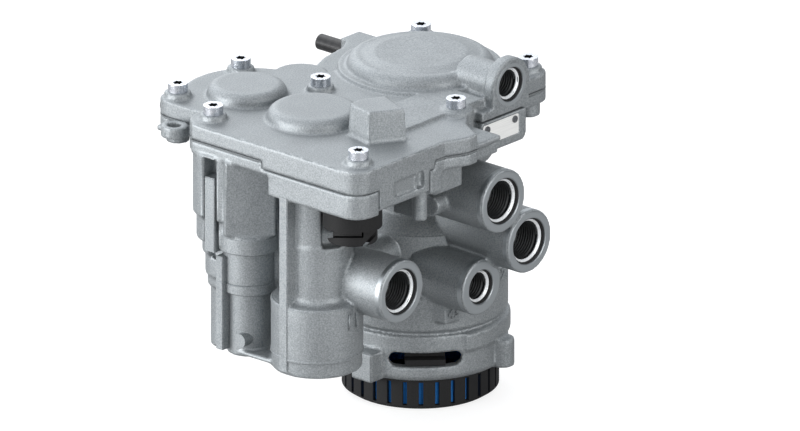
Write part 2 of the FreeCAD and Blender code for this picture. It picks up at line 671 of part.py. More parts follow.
body_remove = []
for place, (x, y) in enumerate(screw_places):
    body_remove.append(post("body_screw_hole_" + str(place + 1), x, y,
                            "screw_hole_low",
                            "cover_seat + 1", "screw_r"))
body_remove += [
    box("rebate_left", "left_face - 5", "left_face + rim_width + fit_gap", "front_face - 5",
        "rim_front + fit_gap", "rim_low - fit_gap", "cover_seat + 1"),
    box("rebate_front", "left_face - 5", "nose_left - 15 + fit_gap", "front_face - 5",
        "front_face + rim_width + fit_gap", "rim_low - fit_gap", "cover_seat + 1"),
    box("rebate_skirt", "left_face + 16.3 - fit_gap", "left_face + 53.7 + fit_gap", "front_face - 5",
        "front_face + rim_width + fit_gap", "skirt_low - 6", "cover_seat + 1"),
    take("rebate_corner",
         box("rebate_corner_box", "left_face - 1", "left_face + corner_r", "front_face - 1",
             "front_face + corner_r", "rim_low - fit_gap", "cover_seat + 1"),
         post("rebate_corner_core", "left_face + corner_r", "front_face + corner_r", "rim_low - 2",
              "cover_seat + 2", "corner_r - rim_width - fit_gap")),
    post("relay_bore", "relay_x", "relay_y", "relay_bore_low - valve_travel - 0.3", "cover_seat + 1",
         "relay_bore_r"),
    post("delivery_chamber", "relay_x", "relay_y", "seat_high", "relay_bore_low + 1", "delivery_r"),
    post("inlet_seat", "relay_x", "relay_y", "seat_low - 1", "seat_high + 1", "seat_r"),
    post("supply_chamber", "relay_x", "relay_y", "guide_bore_high - 1", "seat_low", "delivery_r"),
    post("guide_bore", "relay_x", "relay_y", "hand_bore_high - 1", "guide_bore_high", "guide_bore_r"),
    post("hand_bore", "relay_x", "relay_y", "end_seat - 1", "hand_bore_high", hand_bore_r),
    post("end_bore", "relay_x", "relay_y", "rim_bottom - 1", "end_seat", end_bore_r),
    post("end_groove", "relay_x", "relay_y", "end_seat - end_plate_thickness - clip_thickness",
         "end_seat - end_plate_thickness", end_groove_r),
    bar_y("outlet_mouth", "outlet_x", "outlet_z", "port_face - 1", "port_face + mouth_depth",
          "large_mouth_r"),
    bar_y("outlet_thread", "outlet_x", "outlet_z", "port_face", "port_face + thread_depth",
          "large_thread_r"),
    bar_y("outlet_passage", "outlet_x", "outlet_z", "port_face + 5", "relay_y - 8", "passage_r"),
    bar_y("supply_mouth", "relay_x", "supply_z", "port_face - 1", "port_face + mouth_depth",
          "large_mouth_r"),
    bar_y("supply_thread", "relay_x", "supply_z", "port_face", "port_face + thread_depth",
          "large_thread_r"),
    bar_y("supply_passage", "relay_x", "supply_z", "port_face + 5", "relay_y - 10", "passage_r"),
    bar_y("left_supply_mouth", "left_supply_x", "supply_z", "port_face - 1", "port_face + mouth_depth",
          "large_mouth_r"),
    bar_y("left_supply_thread", "left_supply_x", "supply_z", "port_face", "port_face + thread_depth",
          "large_thread_r"),
    bar_y("left_supply_passage", "left_supply_x", "supply_z", "port_face + 5", "duct_y", "passage_r - 2.4"),
    bar_x("duct_passage", "duct_y", "duct_z", "left_supply_x", "relay_x - 8", "passage_r - 2.4"),
    post("duct_drilling", "left_supply_x", "duct_y", "duct_z", "supply_z", "passage_r - 2.4"),
    bar_y("lower_mouth", "lower_x", "lower_z", "lower_face - 1", "lower_face + mouth_depth",
          "small_mouth_r"),
    bar_y("lower_thread", "lower_x", "lower_z", "lower_face", "lower_face + thread_depth",
          "small_thread_r"),
    bar_y("lower_passage", "lower_x", "lower_z", "lower_face + 5", "relay_y - 28", "small_passage_r - 1"),
    post("lower_drilling", "lower_x", "relay_y - 29", "hand_bore_high - 1", "lower_z", "2.5"),
    post("throttle_bore", "throttle_x", "throttle_y", "column_bottom - 1", "throttle_bore_high",
         "throttle_bore_r"),
    post("throttle_groove", "throttle_x", "throttle_y", "column_bottom + 3.6 - clip_thickness",
         "column_bottom + 3.6", "throttle_bore_r + 1.2"),
    post("throttle_drilling", "throttle_x + 8", "throttle_y", "throttle_bore_high - 1", "supply_z", "2.5"),
    bar_y("throttle_link", "throttle_x + 8", "supply_z + 1", "port_face + 27", "throttle_y", "2.4"),
    post("check_bore", "check_x", "check_y", "column_bottom - 1", "check_bore_high", "check_bore_r"),
    post("check_drilling", "check_x", "check_y", "check_bore_high - 1", "cover_seat - 4", "2.5"),
    post("rear_column_bore", "rear_column_x + 2", "rear_column_y + 8", "0", "cover_seat + 1", "6"),
    post("rear_pocket", "rear_dome_x", "rear_dome_y", "cover_seat - 4", "cover_seat + 1",
         "rear_dome_r - dome_wall - 1.5"),
    post("front_pocket", "front_dome_x", "front_dome_y", "cover_seat - 4", "cover_seat + 1",
         "front_dome_r - dome_wall - 1.5"),
    box("column_notch", "left_face - 8", "left_face + 7.5", "check_y + 7.5", "check_y + 15.5", "0 - 20",
        "flange_low"),
    box("nameplate_recess", "plate_left_x - fit_gap", "plate_right_x + fit_gap", "upper_face - 1",
        "upper_face + recess_depth", "plate_low_z - fit_gap", "plate_high_z + fit_gap"),
    bar_y("rivet_hole_left", "plate_left_x + 3", "plate_low_z + 8", "upper_face", "upper_face + 5",
          "rivet_r"),
    bar_y("rivet_hole_right", "plate_right_x - 3", "plate_low_z + 8", "upper_face", "upper_face + 5",
          "rivet_r"),
    bar_y("stud_hole_right", stud_right_x, stud_high, rear_face + " - stud_depth - 2", rear_face + " + 1",
          "stud_root_r"),
    bar_y("stud_hole_left", stud_left_x, stud_high, rear_face + " - stud_depth - 2", rear_face + " + 1",
          "stud_root_r"),
    bar_y("stud_hole_low", stud_low_x, stud_low, rear_face + " - stud_depth - 2", rear_face + " + 1",
          "stud_root_r"),
    bar_y("stud_relief_right", stud_right_x, stud_high, rear_face + " - 0.6", rear_face + " + 1",
          "stud_r + stud_relief"),
    bar_y("stud_relief_left", stud_left_x, stud_high, rear_face + " - 0.6", rear_face + " + 1",
          "stud_r + stud_relief"),
    bar_y("stud_relief_low", stud_low_x, stud_low, rear_face + " - 0.6", rear_face + " + 1",
          "stud_r + stud_relief"),
    post("hang_hole", "hang_x", "hang_y", "flange_low", "flange_low + 12", "3.3"),
    post("vent_hole", "cap_x", "cap_y", "thick_flange_low - 3", "thick_flange_low + 8", "4"),
    take("cap_room", post("cap_room_wide", "cap_x", "cap_y", "cap_collar_low - 1", "thick_flange_low",
                          "cap_collar_r + cap_gap"),
         post("cap_room_core", "cap_x", "cap_y", "cap_collar_low - 2", "thick_flange_low + 1",
              "cap_low_r + cap_gap")),
]
for place in range(2):
    turn_angle = number("window_turn") + 180 * place
    across = str(round(math.cos(math.radians(turn_angle)), 6))
    along = str(round(math.sin(math.radians(turn_angle)), 6))
    window = box("window_" + str(place + 1), "0", "60", "0 - window_half", "window_half", "window_low",
                 "window_high")
    window.Placement = FreeCAD.Placement(FreeCAD.Vector(), FreeCAD.Rotation(turn_angle, 0, 0))
    set_corner(window, "relay_x + window_half * (" + along + ")", "relay_y - window_half * (" + across + ")",
               "window_low")
    body_remove.append(window)
    for side in ("+", "-"):
        end = post("window_end_" + str(2 * place + (side == "+")), "0", "0", "0", "60",
                   "(window_high - window_low) / 2")
        tilt = FreeCAD.Rotation(turn_angle, 0, 0).multiply(FreeCAD.Rotation(FreeCAD.Vector(0, 1, 0), 90))
        end.Placement = FreeCAD.Placement(FreeCAD.Vector(), tilt)
        set_corner(end, "relay_x " + side + " window_half * (" + along + ")",
                   "relay_y - (0 " + side + " window_half * (" + across + "))",
                   "(window_high + window_low) / 2")
        body_remove.append(end)
main_body = take("main_body", body_solid, join("body_holes", body_remove))

# Cover screws: one screw is drawn, the eight places link to it
socket = [post("socket_core", "0", "0", "0 - socket_depth", "1", "socket_r")]
for lobe in range(6):
    petal = post("socket_lobe_" + str(lobe + 1), "0", "0", "0 - socket_depth", "1", "lobe_r")
    across = str(round(math.cos(math.radians(60 * lobe)), 6))
    along = str(round(math.sin(math.radians(60 * lobe)), 6))
    set_corner(petal, "socket_r * (" + across + ")", "socket_r * (" + along + ")", "0 - socket_depth")
    socket.append(petal)
screw = take("screw_pattern",
             join("screw_blank", [
                 post("screw_head", "0", "0", "0 - screw_head_height", "0", "screw_head_r"),
                 post("screw_shank", "0", "0", "0 - screw_head_height - screw_length",
                      "0.5 - screw_head_height", "screw_r")]),
             join("screw_socket", socket))
screws = []
for place, (x, y) in enumerate(screw_places):
    link = doc.addObject("App::Link", "screw_" + str(place + 1))
    link.LinkedObject = screw
    link.LinkTransform = False
    bind(link, "Placement.Base.x", x)
    bind(link, "Placement.Base.y", y)
    bind(link, "Placement.Base.z", "cover_top + screw_boss_height + screw_head_height")
    screws.append(link)
cover_screws = group("cover_screws", screws)

# Mounting studs: each has a thinner root in its hole, and its shank starts at the rear face, over a small
# relief round the mouth of the hole
studs = []
for side, x, z in (("right", stud_right_x, stud_high), ("left", stud_left_x, stud_high),
                   ("low", stud_low_x, stud_low)):
    studs.append(join("stud_" + side, [
        bar_y("stud_root_" + side, x, z, rear_face + " - stud_depth", rear_face, "stud_root_r"),
        bar_y("stud_shank_" + side, x, z, rear_face, rear_face + " + stud_reach", "stud_r")]))
mounting_studs = group("mounting_studs", studs)

# Nameplate and its rivets
plate_back = "upper_face + recess_depth"
plate_front = "upper_face + recess_depth - plate_thickness"
nameplate = take("nameplate",
                 box("nameplate_blank", "plate_left_x", "plate_right_x", plate_front, plate_back,
                     "plate_low_z", "plate_high_z"),
                 join("nameplate_holes", [
                     bar_y("plate_hole_left", "plate_left_x + 3", "plate_low_z + 8", "upper_face - 1",
                           "upper_face + 3", "rivet_r"),
                     bar_y("plate_hole_right", "plate_right_x - 3", "plate_low_z + 8", "upper_face - 1",
                           "upper_face + 3", "rivet_r")]))
rivets = []
for side, x in (("left", "plate_left_x + 3"), ("right", "plate_right_x - 3")):
    rivets.append(join("rivet_" + side, [
        bar_y("rivet_shank_" + side, x, "plate_low_z + 8", plate_front, "upper_face + 5", "rivet_r"),
        bar_y("rivet_head_" + side, x, "plate_low_z + 8", plate_front + " - 0.6", plate_front,
              "rivet_head_r")]))
nameplate_rivets = group("nameplate_rivets", rivets)

# Vent cap under the near corner, with the rubber flap it holds
vent_cap = turned("vent_cap", "cap_x", "cap_y", [
    ("cap_collar_r", "thick_flange_low"), ("cap_collar_r", "cap_collar_low"),
    ("cap_low_r", "cap_collar_low"), ("cap_low_r", "cap_low"), ("cap_pin_r - 1.4", "cap_low"),
    ("cap_pin_r - 1.4", "thick_flange_low + 6"), ("cap_pin_r", "thick_flange_low + 6"),
    ("cap_pin_r", "cap_low + 2"), ("cap_low_r - 2", "cap_low + 2"),
    ("cap_low_r - 2", "cap_collar_low + 2"), ("cap_collar_r - 1.6", "cap_collar_low + 2"),
    ("cap_collar_r - 1.6", "thick_flange_low")])
vent_flap = turned("vent_flap", "cap_x", "cap_y", [
    ("cap_pin_r", "thick_flange_low - 2"), ("cap_pin_r", "thick_flange_low - 3.4"),
    ("cap_low_r - 2.4", "thick_flange_low - 3.4"), ("cap_low_r - 2.4", "thick_flange_low - 2")])

# Relay piston, pushed down by the control pressure, with its seal
relay_piston = turned("relay_piston", "relay_x", "relay_y", [
    ("6.5", "seat_low + 0.2"), ("9", "seat_low + 0.2"), ("9", "relay_bore_low + 9"),
    ("28", "relay_bore_low + 9"), ("28", "relay_bore_low"), ("relay_bore_r - running_gap", "relay_bore_low"),
    ("relay_bore_r - running_gap", "relay_bore_low + 11"), ("relay_bore_r - 2 * seal_r", "relay_bore_low + 11"),
    ("relay_bore_r - 2 * seal_r", "relay_bore_low + 11 + 2 * seal_r"),
    ("relay_bore_r - running_gap", "relay_bore_low + 11 + 2 * seal_r"),
    ("relay_bore_r - running_gap", "relay_bore_low + 17"), ("12", "relay_bore_low + 17"),
    ("12", "relay_bore_low + 13"), ("6.5", "relay_bore_low + 13")])
relay_seal = seal("relay_seal", "relay_x", "relay_y", "relay_bore_low + 11 + seal_r", "relay_bore_r")

# Double-seat valve, its guide and its spring
relay_valve = turned("relay_valve", "relay_x", "relay_y", [
    ("7", "seat_low"), ("16", "seat_low"), ("16", "seat_low - 3"), ("11 - running_gap", "seat_low - 3"),
    ("11 - running_gap", "guide_bore_high - 4"), ("7", "guide_bore_high - 4")])
valve_guide = turned("valve_guide", "relay_x", "relay_y", [
    ("11", "guide_bore_high + 16"), ("13.5", "guide_bore_high + 16"), ("13.5", "guide_bore_high"),
    ("guide_bore_r", "guide_bore_high"), ("guide_bore_r", "guide_bore_high - 4"),
    ("guide_bore_r - 2 * seal_r", "guide_bore_high - 4"),
    ("guide_bore_r - 2 * seal_r", "guide_bore_high - 4 - 2 * seal_r"),
    ("guide_bore_r", "guide_bore_high - 4 - 2 * seal_r"), ("guide_bore_r", "hand_bore_high"),
    ("guide_bore_r + 3", "hand_bore_high"), ("guide_bore_r + 3", "hand_bore_high - 2"),
    ("11", "hand_bore_high - 2")])
guide_seal = seal("guide_seal", "relay_x", "relay_y", "guide_bore_high - 4 - seal_r", "guide_bore_r")

# Hand-brake piston in the plinth, the plate that closes it in and the ring that holds the plate
hand_piston_low = "hand_bore_high - 10"
hand_piston = turned("hand_brake_piston", "relay_x", "relay_y", [
    ("15", hand_piston_low), (hand_bore_r + " - running_gap", hand_piston_low),
    (hand_bore_r + " - running_gap", hand_piston_low + " + 2"),
    (hand_bore_r + " - 2 * seal_r", hand_piston_low + " + 2"),
    (hand_bore_r + " - 2 * seal_r", hand_piston_low + " + 2 + 2 * seal_r"),
    (hand_bore_r + " - running_gap", hand_piston_low + " + 2 + 2 * seal_r"),
    (hand_bore_r + " - running_gap", hand_piston_low + " + 7"), ("26", hand_piston_low + " + 7"),
    ("26", "hand_bore_high - 2"), ("15", "hand_bore_high - 2")])
hand_seal = seal("hand_brake_seal", "relay_x", "relay_y", hand_piston_low + " + 2 + seal_r", hand_bore_r)
end_plate = turned("end_plate", "relay_x", "relay_y", [
    ("14", "end_seat"), (end_bore_r, "end_seat"), (end_bore_r, "end_seat - end_plate_thickness"),
    ("14", "end_seat - end_plate_thickness")])


def snap_ring(label, x, y, z_low, inner, outer, opening):
    """Flat retaining ring with a gap in it."""
    z_high = z_low + " + clip_thickness"
    return take(label, post(label + "_disc", x, y, z_low, z_high, outer),
                join(label + "_open", [
                    post(label + "_hole", x, y, z_low + " - 1", z_high + " + 1", inner),
                    box(label + "_gap", x + " - " + opening, x + " + " + opening, y, y + " + 60",
                        z_low + " - 1", z_high + " + 1")]))


retaining_ring = snap_ring("retaining_ring", "relay_x", "relay_y",
                           "end_seat - end_plate_thickness - clip_thickness", end_bore_r + " - 3.2",
                           end_groove_r, "7")

# Throttle piston and the plug that closes its column
throttle_top = "throttle_bore_high"
throttle_piston = turned("throttle_piston", "throttle_x", "throttle_y", [
    ("4", throttle_top), ("4", throttle_top + " - 6"), ("13", throttle_top + " - 6"),
    ("13", throttle_top + " - 9"), ("throttle_bore_r - running_gap", throttle_top + " - 9"),
    ("throttle_bore_r - running_gap", throttle_top + " - 6"),
    ("throttle_bore_r - 2 * seal_r", throttle_top + " - 6"),
    ("throttle_bore_r - 2 * seal_r", throttle_top + " - 6 + 2 * seal_r"),
    ("throttle_bore_r - running_gap", throttle_top + " - 6 + 2 * seal_r"),
    ("throttle_bore_r - running_gap", throttle_top + " - 1"), ("12", throttle_top + " - 1"),
    ("12", throttle_top)])
throttle_seal = seal("throttle_seal", "throttle_x", "throttle_y", throttle_top + " - 6 + seal_r",
                     "throttle_bore_r")
plug_low = "column_bottom + 3.6"
column_plug = turned("column_plug", "throttle_x", "throttle_y", [
    ("3", plug_low), ("throttle_bore_r", plug_low), ("throttle_bore_r", plug_low + " + 6"),
    ("14.8", plug_low + " + 6"), ("14.8", plug_low + " + 3"), ("3", plug_low + " + 3")])
column_ring = snap_ring("column_ring", "throttle_x", "throttle_y", plug_low + " - clip_thickness",
                        "throttle_bore_r - 2.6", "throttle_bore_r + 1.2", "4")

# Check valve in the left column, closed in by a screw plug
check_valve = turned("check_valve", "check_x", "check_y", [
    ("1", "check_bore_high"), ("4", "check_bore_high"), ("6.4", "check_bore_high - 4"),
    ("check_bore_r - running_gap", "check_bore_high - 4"), ("check_bore_r - running_gap", "check_bore_high - 14"),
    ("6.4", "check_bore_high - 14"), ("6.4", "check_bore_high - 6"), ("1", "check_bore_high - 6")])
check_plug = take("check_plug", post("check_plug_blank", "check_x", "check_y", "column_bottom",
                                     "column_bottom + 16", "check_bore_r"),
                  post("check_plug_socket", "check_x", "check_y", "column_bottom - 1",
                       "column_bottom + 6", "3.4"))


def coil(label, x, y, z_low, z_high, radius, wire, turns):
    """Coil spring between two levels, its wire drawn in short straight lengths."""
    helix = doc.addObject("Part::Helix", label + "_helix")
    bind(helix, "Radius", radius)
    bind(helix, "Height", "(" + z_high + ") - (" + z_low + ") - 2 * " + wire)
    bind(helix, "Pitch", "((" + z_high + ") - (" + z_low + ") - 2 * " + wire + ") / " + str(turns))
    doc.recompute()
    spine = doc.addObject("Part::Polygon", label + "_spine")
    spine.Nodes = helix.Shape.discretize(Number=turns * int(number("coil_sides")) + 1)
    section = doc.addObject("Part::RegularPolygon", label + "_wire")
    section.Polygon = 6
    bind(section, "Circumradius", wire)
    section.Placement = FreeCAD.Placement(FreeCAD.Vector(), FreeCAD.Rotation(FreeCAD.Vector(1, 0, 0), 90))
    bind(section, "Placement.Base.x", radius)
    sweep = doc.addObject("Part::Sweep", label)
    sweep.Sections = [section]
    doc.recompute()
    edges = ["Edge" + str(place + 1) for place in range(len(spine.Shape.Edges))]
    sweep.Spine = (spine, edges)
    sweep.Solid = True
    sweep.Frenet = False
    sweep.Transition = "Right corner"
    set_corner(sweep, x, y, z_low + " + " + wire)
    return sweep


valve_spring = coil("valve_spring", "relay_x", "relay_y", "guide_bore_high", "seat_low - 3", "15.2", "1.1", 5)
hand_spring = coil("hand_brake_spring", "relay_x", "relay_y", "end_seat", hand_piston_low, "24", "1.0", 1)
throttle_spring = coil("throttle_spring", "throttle_x", "throttle_y", plug_low + " + 3",
                       throttle_top + " - 6", "10", "1.0", 3)
check_spring = coil("check_spring", "check_x", "check_y", "column_bottom + 16", "check_bore_high - 14",
                    "6.9", "0.6", 4)

# Silencer: slotted cage with hooks in the windows of the foot ring, and the filter inside it
cage_top = "rim_bottom"
cage_blank = join("cage_blank", [
    post("cage_wall", "relay_x", "relay_y", "silencer_low + 2", cage_top, "silencer_r"),
    cone("cage_foot", "relay_x", "relay_y", "silencer_low", "silencer_low + 2", "silencer_r - 3",
         "silencer_r"),
    post("cage_spigot", "relay_x", "relay_y", cage_top + " - 1", cage_top + " + 5.4",
         end_bore_r + " - fit_gap")])
cage_open = [
    post("cage_hollow", "relay_x", "relay_y", "silencer_low + 2.6", cage_top + " - 2",
         "silencer_r - silencer_wall"),
    post("cage_neck", "relay_x", "relay_y", cage_top + " - 3", cage_top + " + 1", "neck_r"),
    post("cage_spigot_hollow", "relay_x", "relay_y", cage_top, cage_top + " + 8", end_bore_r + " - 2.4")]
slots = int(number("slot_count")) // 2
for place in range(slots):
    slot = box("cage_slot_" + str(place + 1), "0 - 50", "50", "0 - slot_width / 2", "slot_width / 2",
               "silencer_low + 2.6", cage_top + " - 2")
    turn_angle = 180.0 * (place + 0.5) / slots
    slot.Placement = FreeCAD.Placement(FreeCAD.Vector(), FreeCAD.Rotation(turn_angle, 0, 0))
    across = str(round(math.cos(math.radians(turn_angle)), 6))
    along = str(round(math.sin(math.radians(turn_angle)), 6))
    set_corner(slot, "relay_x - 50 * (" + across + ") + slot_width / 2 * (" + along + ")",
               "relay_y - 50 * (" + along + ") - slot_width / 2 * (" + across + ")", "silencer_low + 2.6")
    cage_open.append(slot)
cage_body = take("cage_body", cage_blank, join("cage_slots", cage_open))
cage_parts = [cage_body]
for place in range(2):
    turn_angle = number("window_turn") + 180 * place
    across = str(round(math.cos(math.radians(turn_angle)), 6))
    along = str(round(math.sin(math.radians(turn_angle)), 6))
    for piece, low, high, inner, outer, half in (
            ("tab", cage_top + " + 5", "window_high - 0.6", end_bore_r + " - 4.4", end_bore_r + " - 2.2", "10"),
            ("hook", "window_low + 0.4", "window_low + 3.4", end_bore_r + " - 3", end_bore_r + " + hook_reach",
             "10")):
        tab = box("cage_" + piece + "_" + str(place + 1), inner, outer, "0 - " + half, half, low, high)
        tab.Placement = FreeCAD.Placement(FreeCAD.Vector(), FreeCAD.Rotation(turn_angle, 0, 0))
        set_corner(tab, "relay_x + (" + inner + ") * (" + across + ") + " + half + " * (" + along + ")",
                   "relay_y + (" + inner + ") * (" + along + ") - " + half + " * (" + across + ")", low)
        cage_parts.append(tab)
silencer_cage = join("silencer_cage", cage_parts)
filter_r = "(silencer_r - silencer_wall - 0.2)"
silencer_filter = turned("silencer_filter", "relay_x", "relay_y", [
    (filter_r + " - filter_thickness", "silencer_low + 2.6"), (filter_r, "silencer_low + 2.6"),
    (filter_r, cage_top + " - 2"), (filter_r + " - filter_thickness", cage_top + " - 2")])

doc.recompute()

pieces = [
    ("main_body", main_body), ("top_cover", top_cover), ("cover_gasket", cover_gasket),
    ("cover_screws", cover_screws), ("mounting_studs", mounting_studs), ("nameplate", nameplate),
    ("nameplate_rivets", nameplate_rivets), ("vent_cap", vent_cap), ("vent_flap", vent_flap),
    ("relay_piston", relay_piston), ("relay_seal", relay_seal), ("relay_valve", relay_valve),
    ("valve_spring", valve_spring), ("valve_guide", valve_guide), ("guide_seal", guide_seal),
    ("hand_brake_piston", hand_piston), ("hand_brake_seal", hand_seal), ("hand_brake_spring", hand_spring),
    ("end_plate", end_plate), ("retaining_ring", retaining_ring), ("throttle_piston", throttle_piston),
    ("throttle_seal", throttle_seal), ("throttle_spring", throttle_spring), ("column_plug", column_plug),
    ("column_ring", column_ring), ("check_valve", check_valve), ("check_spring", check_spring),
    ("check_plug", check_plug), ("silencer_cage", silencer_cage), ("silencer_filter", silencer_filter),
]

for item in doc.Objects:
    for state in item.State:
        if state in ("Invalid", "Error"):
            raise RuntimeError(item.Name + " did not compute")

os.makedirs("parts", exist_ok=True)
for name, piece in pieces:
    piece.Label = name
    shape = piece.Shape
    if shape.isNull() or not shape.isValid():
        raise RuntimeError(name + " has no valid shape")
    shape.exportStep("parts/" + name + ".step")
    print(name, len(shape.Solids), "solids", round(shape.Volume / 1000, 2), "cm3")
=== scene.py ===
import bpy
import bmesh
import math
from mathutils import Matrix, Vector


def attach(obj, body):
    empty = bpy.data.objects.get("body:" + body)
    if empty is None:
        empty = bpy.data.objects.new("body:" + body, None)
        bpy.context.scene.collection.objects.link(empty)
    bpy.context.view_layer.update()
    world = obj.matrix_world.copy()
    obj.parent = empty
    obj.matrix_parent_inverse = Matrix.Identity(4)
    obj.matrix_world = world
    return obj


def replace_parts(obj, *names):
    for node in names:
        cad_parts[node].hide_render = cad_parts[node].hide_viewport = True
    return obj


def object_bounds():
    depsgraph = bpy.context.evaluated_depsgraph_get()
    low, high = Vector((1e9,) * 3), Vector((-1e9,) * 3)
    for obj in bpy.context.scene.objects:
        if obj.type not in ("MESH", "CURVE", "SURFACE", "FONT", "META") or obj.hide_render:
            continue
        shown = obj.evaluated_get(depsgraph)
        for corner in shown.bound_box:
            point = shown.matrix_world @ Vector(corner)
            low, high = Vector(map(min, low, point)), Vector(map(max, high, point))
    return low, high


# Trailer control valve: a die-cast air valve, seen from its front left corner and a little above.
# The housing and cover are cast forms, so their solids are run soft at every edge; turned, moulded and
# pressed pieces keep their crisp solids or get a finer one.

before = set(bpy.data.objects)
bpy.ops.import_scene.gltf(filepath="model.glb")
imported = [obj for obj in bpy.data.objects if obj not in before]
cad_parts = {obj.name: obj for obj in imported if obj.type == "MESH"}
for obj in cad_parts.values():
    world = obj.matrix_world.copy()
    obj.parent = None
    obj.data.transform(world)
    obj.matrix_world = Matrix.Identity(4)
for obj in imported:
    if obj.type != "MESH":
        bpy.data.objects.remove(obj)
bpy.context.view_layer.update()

MM = 0.001
HOUSING = "housing"

# Places in the part's own frame, in millimetres, as its drawing has them
DATUM = Vector((-8.0, -4.2, 1.5))
RELAY = (35.0, -74.0)
THROTTLE = (-76.8, -104.6)
CHECK = (-84.0, -66.0)
CAP = (-79.0, -130.0)
SCREWS = ((-75.0, -11.0), (-87.0, -45.0), (-28.0, -11.0), (-21.5, -58.0), (-87.0, -141.0), (67.0, -46.0),
          (0.0, -128.5), (67.5, -116.5))
HEAD_TOP = 57.4
# Faces in the screws' sockets that are painted dark as shade: their reach from each axis, and the depths
# below the head's top between which they lie
SOCKET_REACH = 2.75
SOCKET_TOP = 0.05
SOCKET_FLOOR = 2.8

# Ports: how deep the mouth is, and the thread's start, turns and pitch
MOUTH_DEPTH = 2.4
THREAD_START = 4.4
THREAD_TURNS = 8
THREAD_PITCH = 1.5

# Castings: size of the cells that they are run soft in, smoothing passes and most triangles
BODY_CELL = 0.75
BODY_TRIANGLES = 196000
COVER_CELL = 0.7
COVER_TRIANGLES = 150000
SOFT_PASSES = 6

# Corners closer than this are one corner
WELD = 1e-6


def place(x, y, z):
    """A point of the drawing in metres of the row frame."""
    return (Vector((x, y, z)) + DATUM) * MM


# Camera and light

VIEW_TURN = math.radians(-48.5)
VIEW_RISE = math.radians(20.5)
PHOTO_WIDTH = 800
PIXELS_PER_MM = 2.02
AIM = Vector((-89.93, -168.15, 28.39)) * MM
CAMERA_REACH = 20
LAMP_AIM = Vector((-0.02, -0.07, -0.02))
WHITE = (1.0, 1.0, 1.0)

# Axes of the photograph in the part's own frame: to the right, upward and towards the camera
PHOTO_RIGHT = Vector((0.6626, -0.749, 0.0))
PHOTO_UP = Vector((0.2623, 0.2320, 0.9367))
PHOTO_NEAR = Vector((-0.7015, -0.6207, 0.3502))

# Where the studio is bright: behind the valve on the left, and overhead
BRIGHT_SIDE = Vector((-0.2, 0.85, 0.45))


def make_camera():
    """A long lens far away, which the photograph's parallel edges ask for."""
    back = Vector((math.sin(VIEW_TURN) * math.cos(VIEW_RISE), -math.cos(VIEW_TURN) * math.cos(VIEW_RISE),
                   math.sin(VIEW_RISE)))
    lens = bpy.data.cameras.new("camera")
    lens.type = "ORTHO"
    lens.ortho_scale = PHOTO_WIDTH / PIXELS_PER_MM * MM
    lens.clip_end = CAMERA_REACH
    camera = bpy.data.objects.new("camera", lens)
    bpy.context.scene.collection.objects.link(camera)
    camera.location = AIM + back
    camera.rotation_mode = "QUATERNION"
    camera.rotation_quaternion = (-back).to_track_quat("-Z", "Y")
    bpy.context.scene.camera = camera


def soft_box(name, where, power, width, height):
    """A studio soft box that faces the valve."""
    lamp = bpy.data.lights.new(name, "AREA")
    lamp.shape = "RECTANGLE"
    lamp.size = width
    lamp.size_y = height
    lamp.energy = power
    lamp.color = WHITE
    light = bpy.data.objects.new(name, lamp)
    bpy.context.scene.collection.objects.link(light)
    light.location = where
    light.rotation_mode = "QUATERNION"
    light.rotation_quaternion = (LAMP_AIM - Vector(where)).to_track_quat("-Z", "Y")


# Nodes of a material

def linear(code):
    """Linear colour of an sRGB hex code."""
    values = []
    for start in (1, 3, 5):
        part = int(code[start:start + 2], 16) / 255
        values.append(part / 12.92 if part <= 0.04045 else ((part + 0.055) / 1.055) ** 2.4)
    return (*values, 1.0)


def add(owner, kind, settings=None, **links):
    """Add a node to a material or world: settings holds its values, links the sockets that feed it."""
    tree = owner.node_tree
    node = tree.nodes.new("ShaderNode" + kind)
    for key, value in (settings or {}).items():
        if hasattr(node, key):
            setattr(node, key, value)
        else:
            node.inputs[key].default_value = value
    for key, source in links.items():
        tree.links.new(source, node.inputs[key.replace("_", " ")])
    return node


def ramp(material, source, stops):
    """Colour ramp through (place, colour) stops."""
    node = add(material, "ValToRGB", None, Fac=source)
    elements = node.color_ramp.elements
    while len(elements) < len(stops):
        elements.new(0.5)
    for element, (spot, colour) in zip(elements, stops):
        element.position = spot
        element.color = colour
    return node.outputs["Color"]


def new_material(name):
    material = bpy.data.materials.new(name)
    material.use_nodes = True
    material.node_tree.nodes.clear()
    return material


def finish_material(material, shader):
    out = add(material, "OutputMaterial")
    material.node_tree.links.new(shader.outputs["BSDF"], out.inputs["Surface"])
    return material


def grey(value):
    return (value, value, value, 1.0)


def cast_aluminium():
    """Die-cast aluminium, shot-blasted: an even pale grey with a fine sandy grain and soft bright edges."""
    m = new_material("cast_aluminium")
    where = add(m, "TexCoord").outputs["Object"]
    # Blasting leaves dents of about 0.3 mm; they are drawn at 0.7 mm so that they show
    grain = add(m, "TexNoise", {"Scale": 1400.0, "Detail": 3.0, "Roughness": 0.6}, Vector=where)
    cloud = add(m, "TexNoise", {"Scale": 60.0, "Detail": 4.0, "Roughness": 0.55}, Vector=where)
    tone = ramp(m, grain.outputs["Fac"], [(0.3, linear("#7C8184")), (0.7, linear("#A8ACAE"))])
    shade = ramp(m, cloud.outputs["Fac"], [(0.3, grey(0.9)), (0.7, grey(1.0))])
    colour = add(m, "MixRGB", {"blend_type": "MULTIPLY", "Fac": 1.0}, Color1=tone, Color2=shade)
    rough = add(m, "MapRange", {"From Min": 0.3, "From Max": 0.7, "To Min": 0.5, "To Max": 0.62},
                Value=grain.outputs["Fac"])
    bump = add(m, "Bump", {"Strength": 0.35, "Distance": 0.0002}, Height=grain.outputs["Fac"])
    shader = add(m, "BsdfPrincipled", {"Metallic": 0.75}, Base_Color=colour.outputs["Color"],
                 Roughness=rough.outputs["Result"], Normal=bump.outputs["Normal"])
    return finish_material(m, shader)


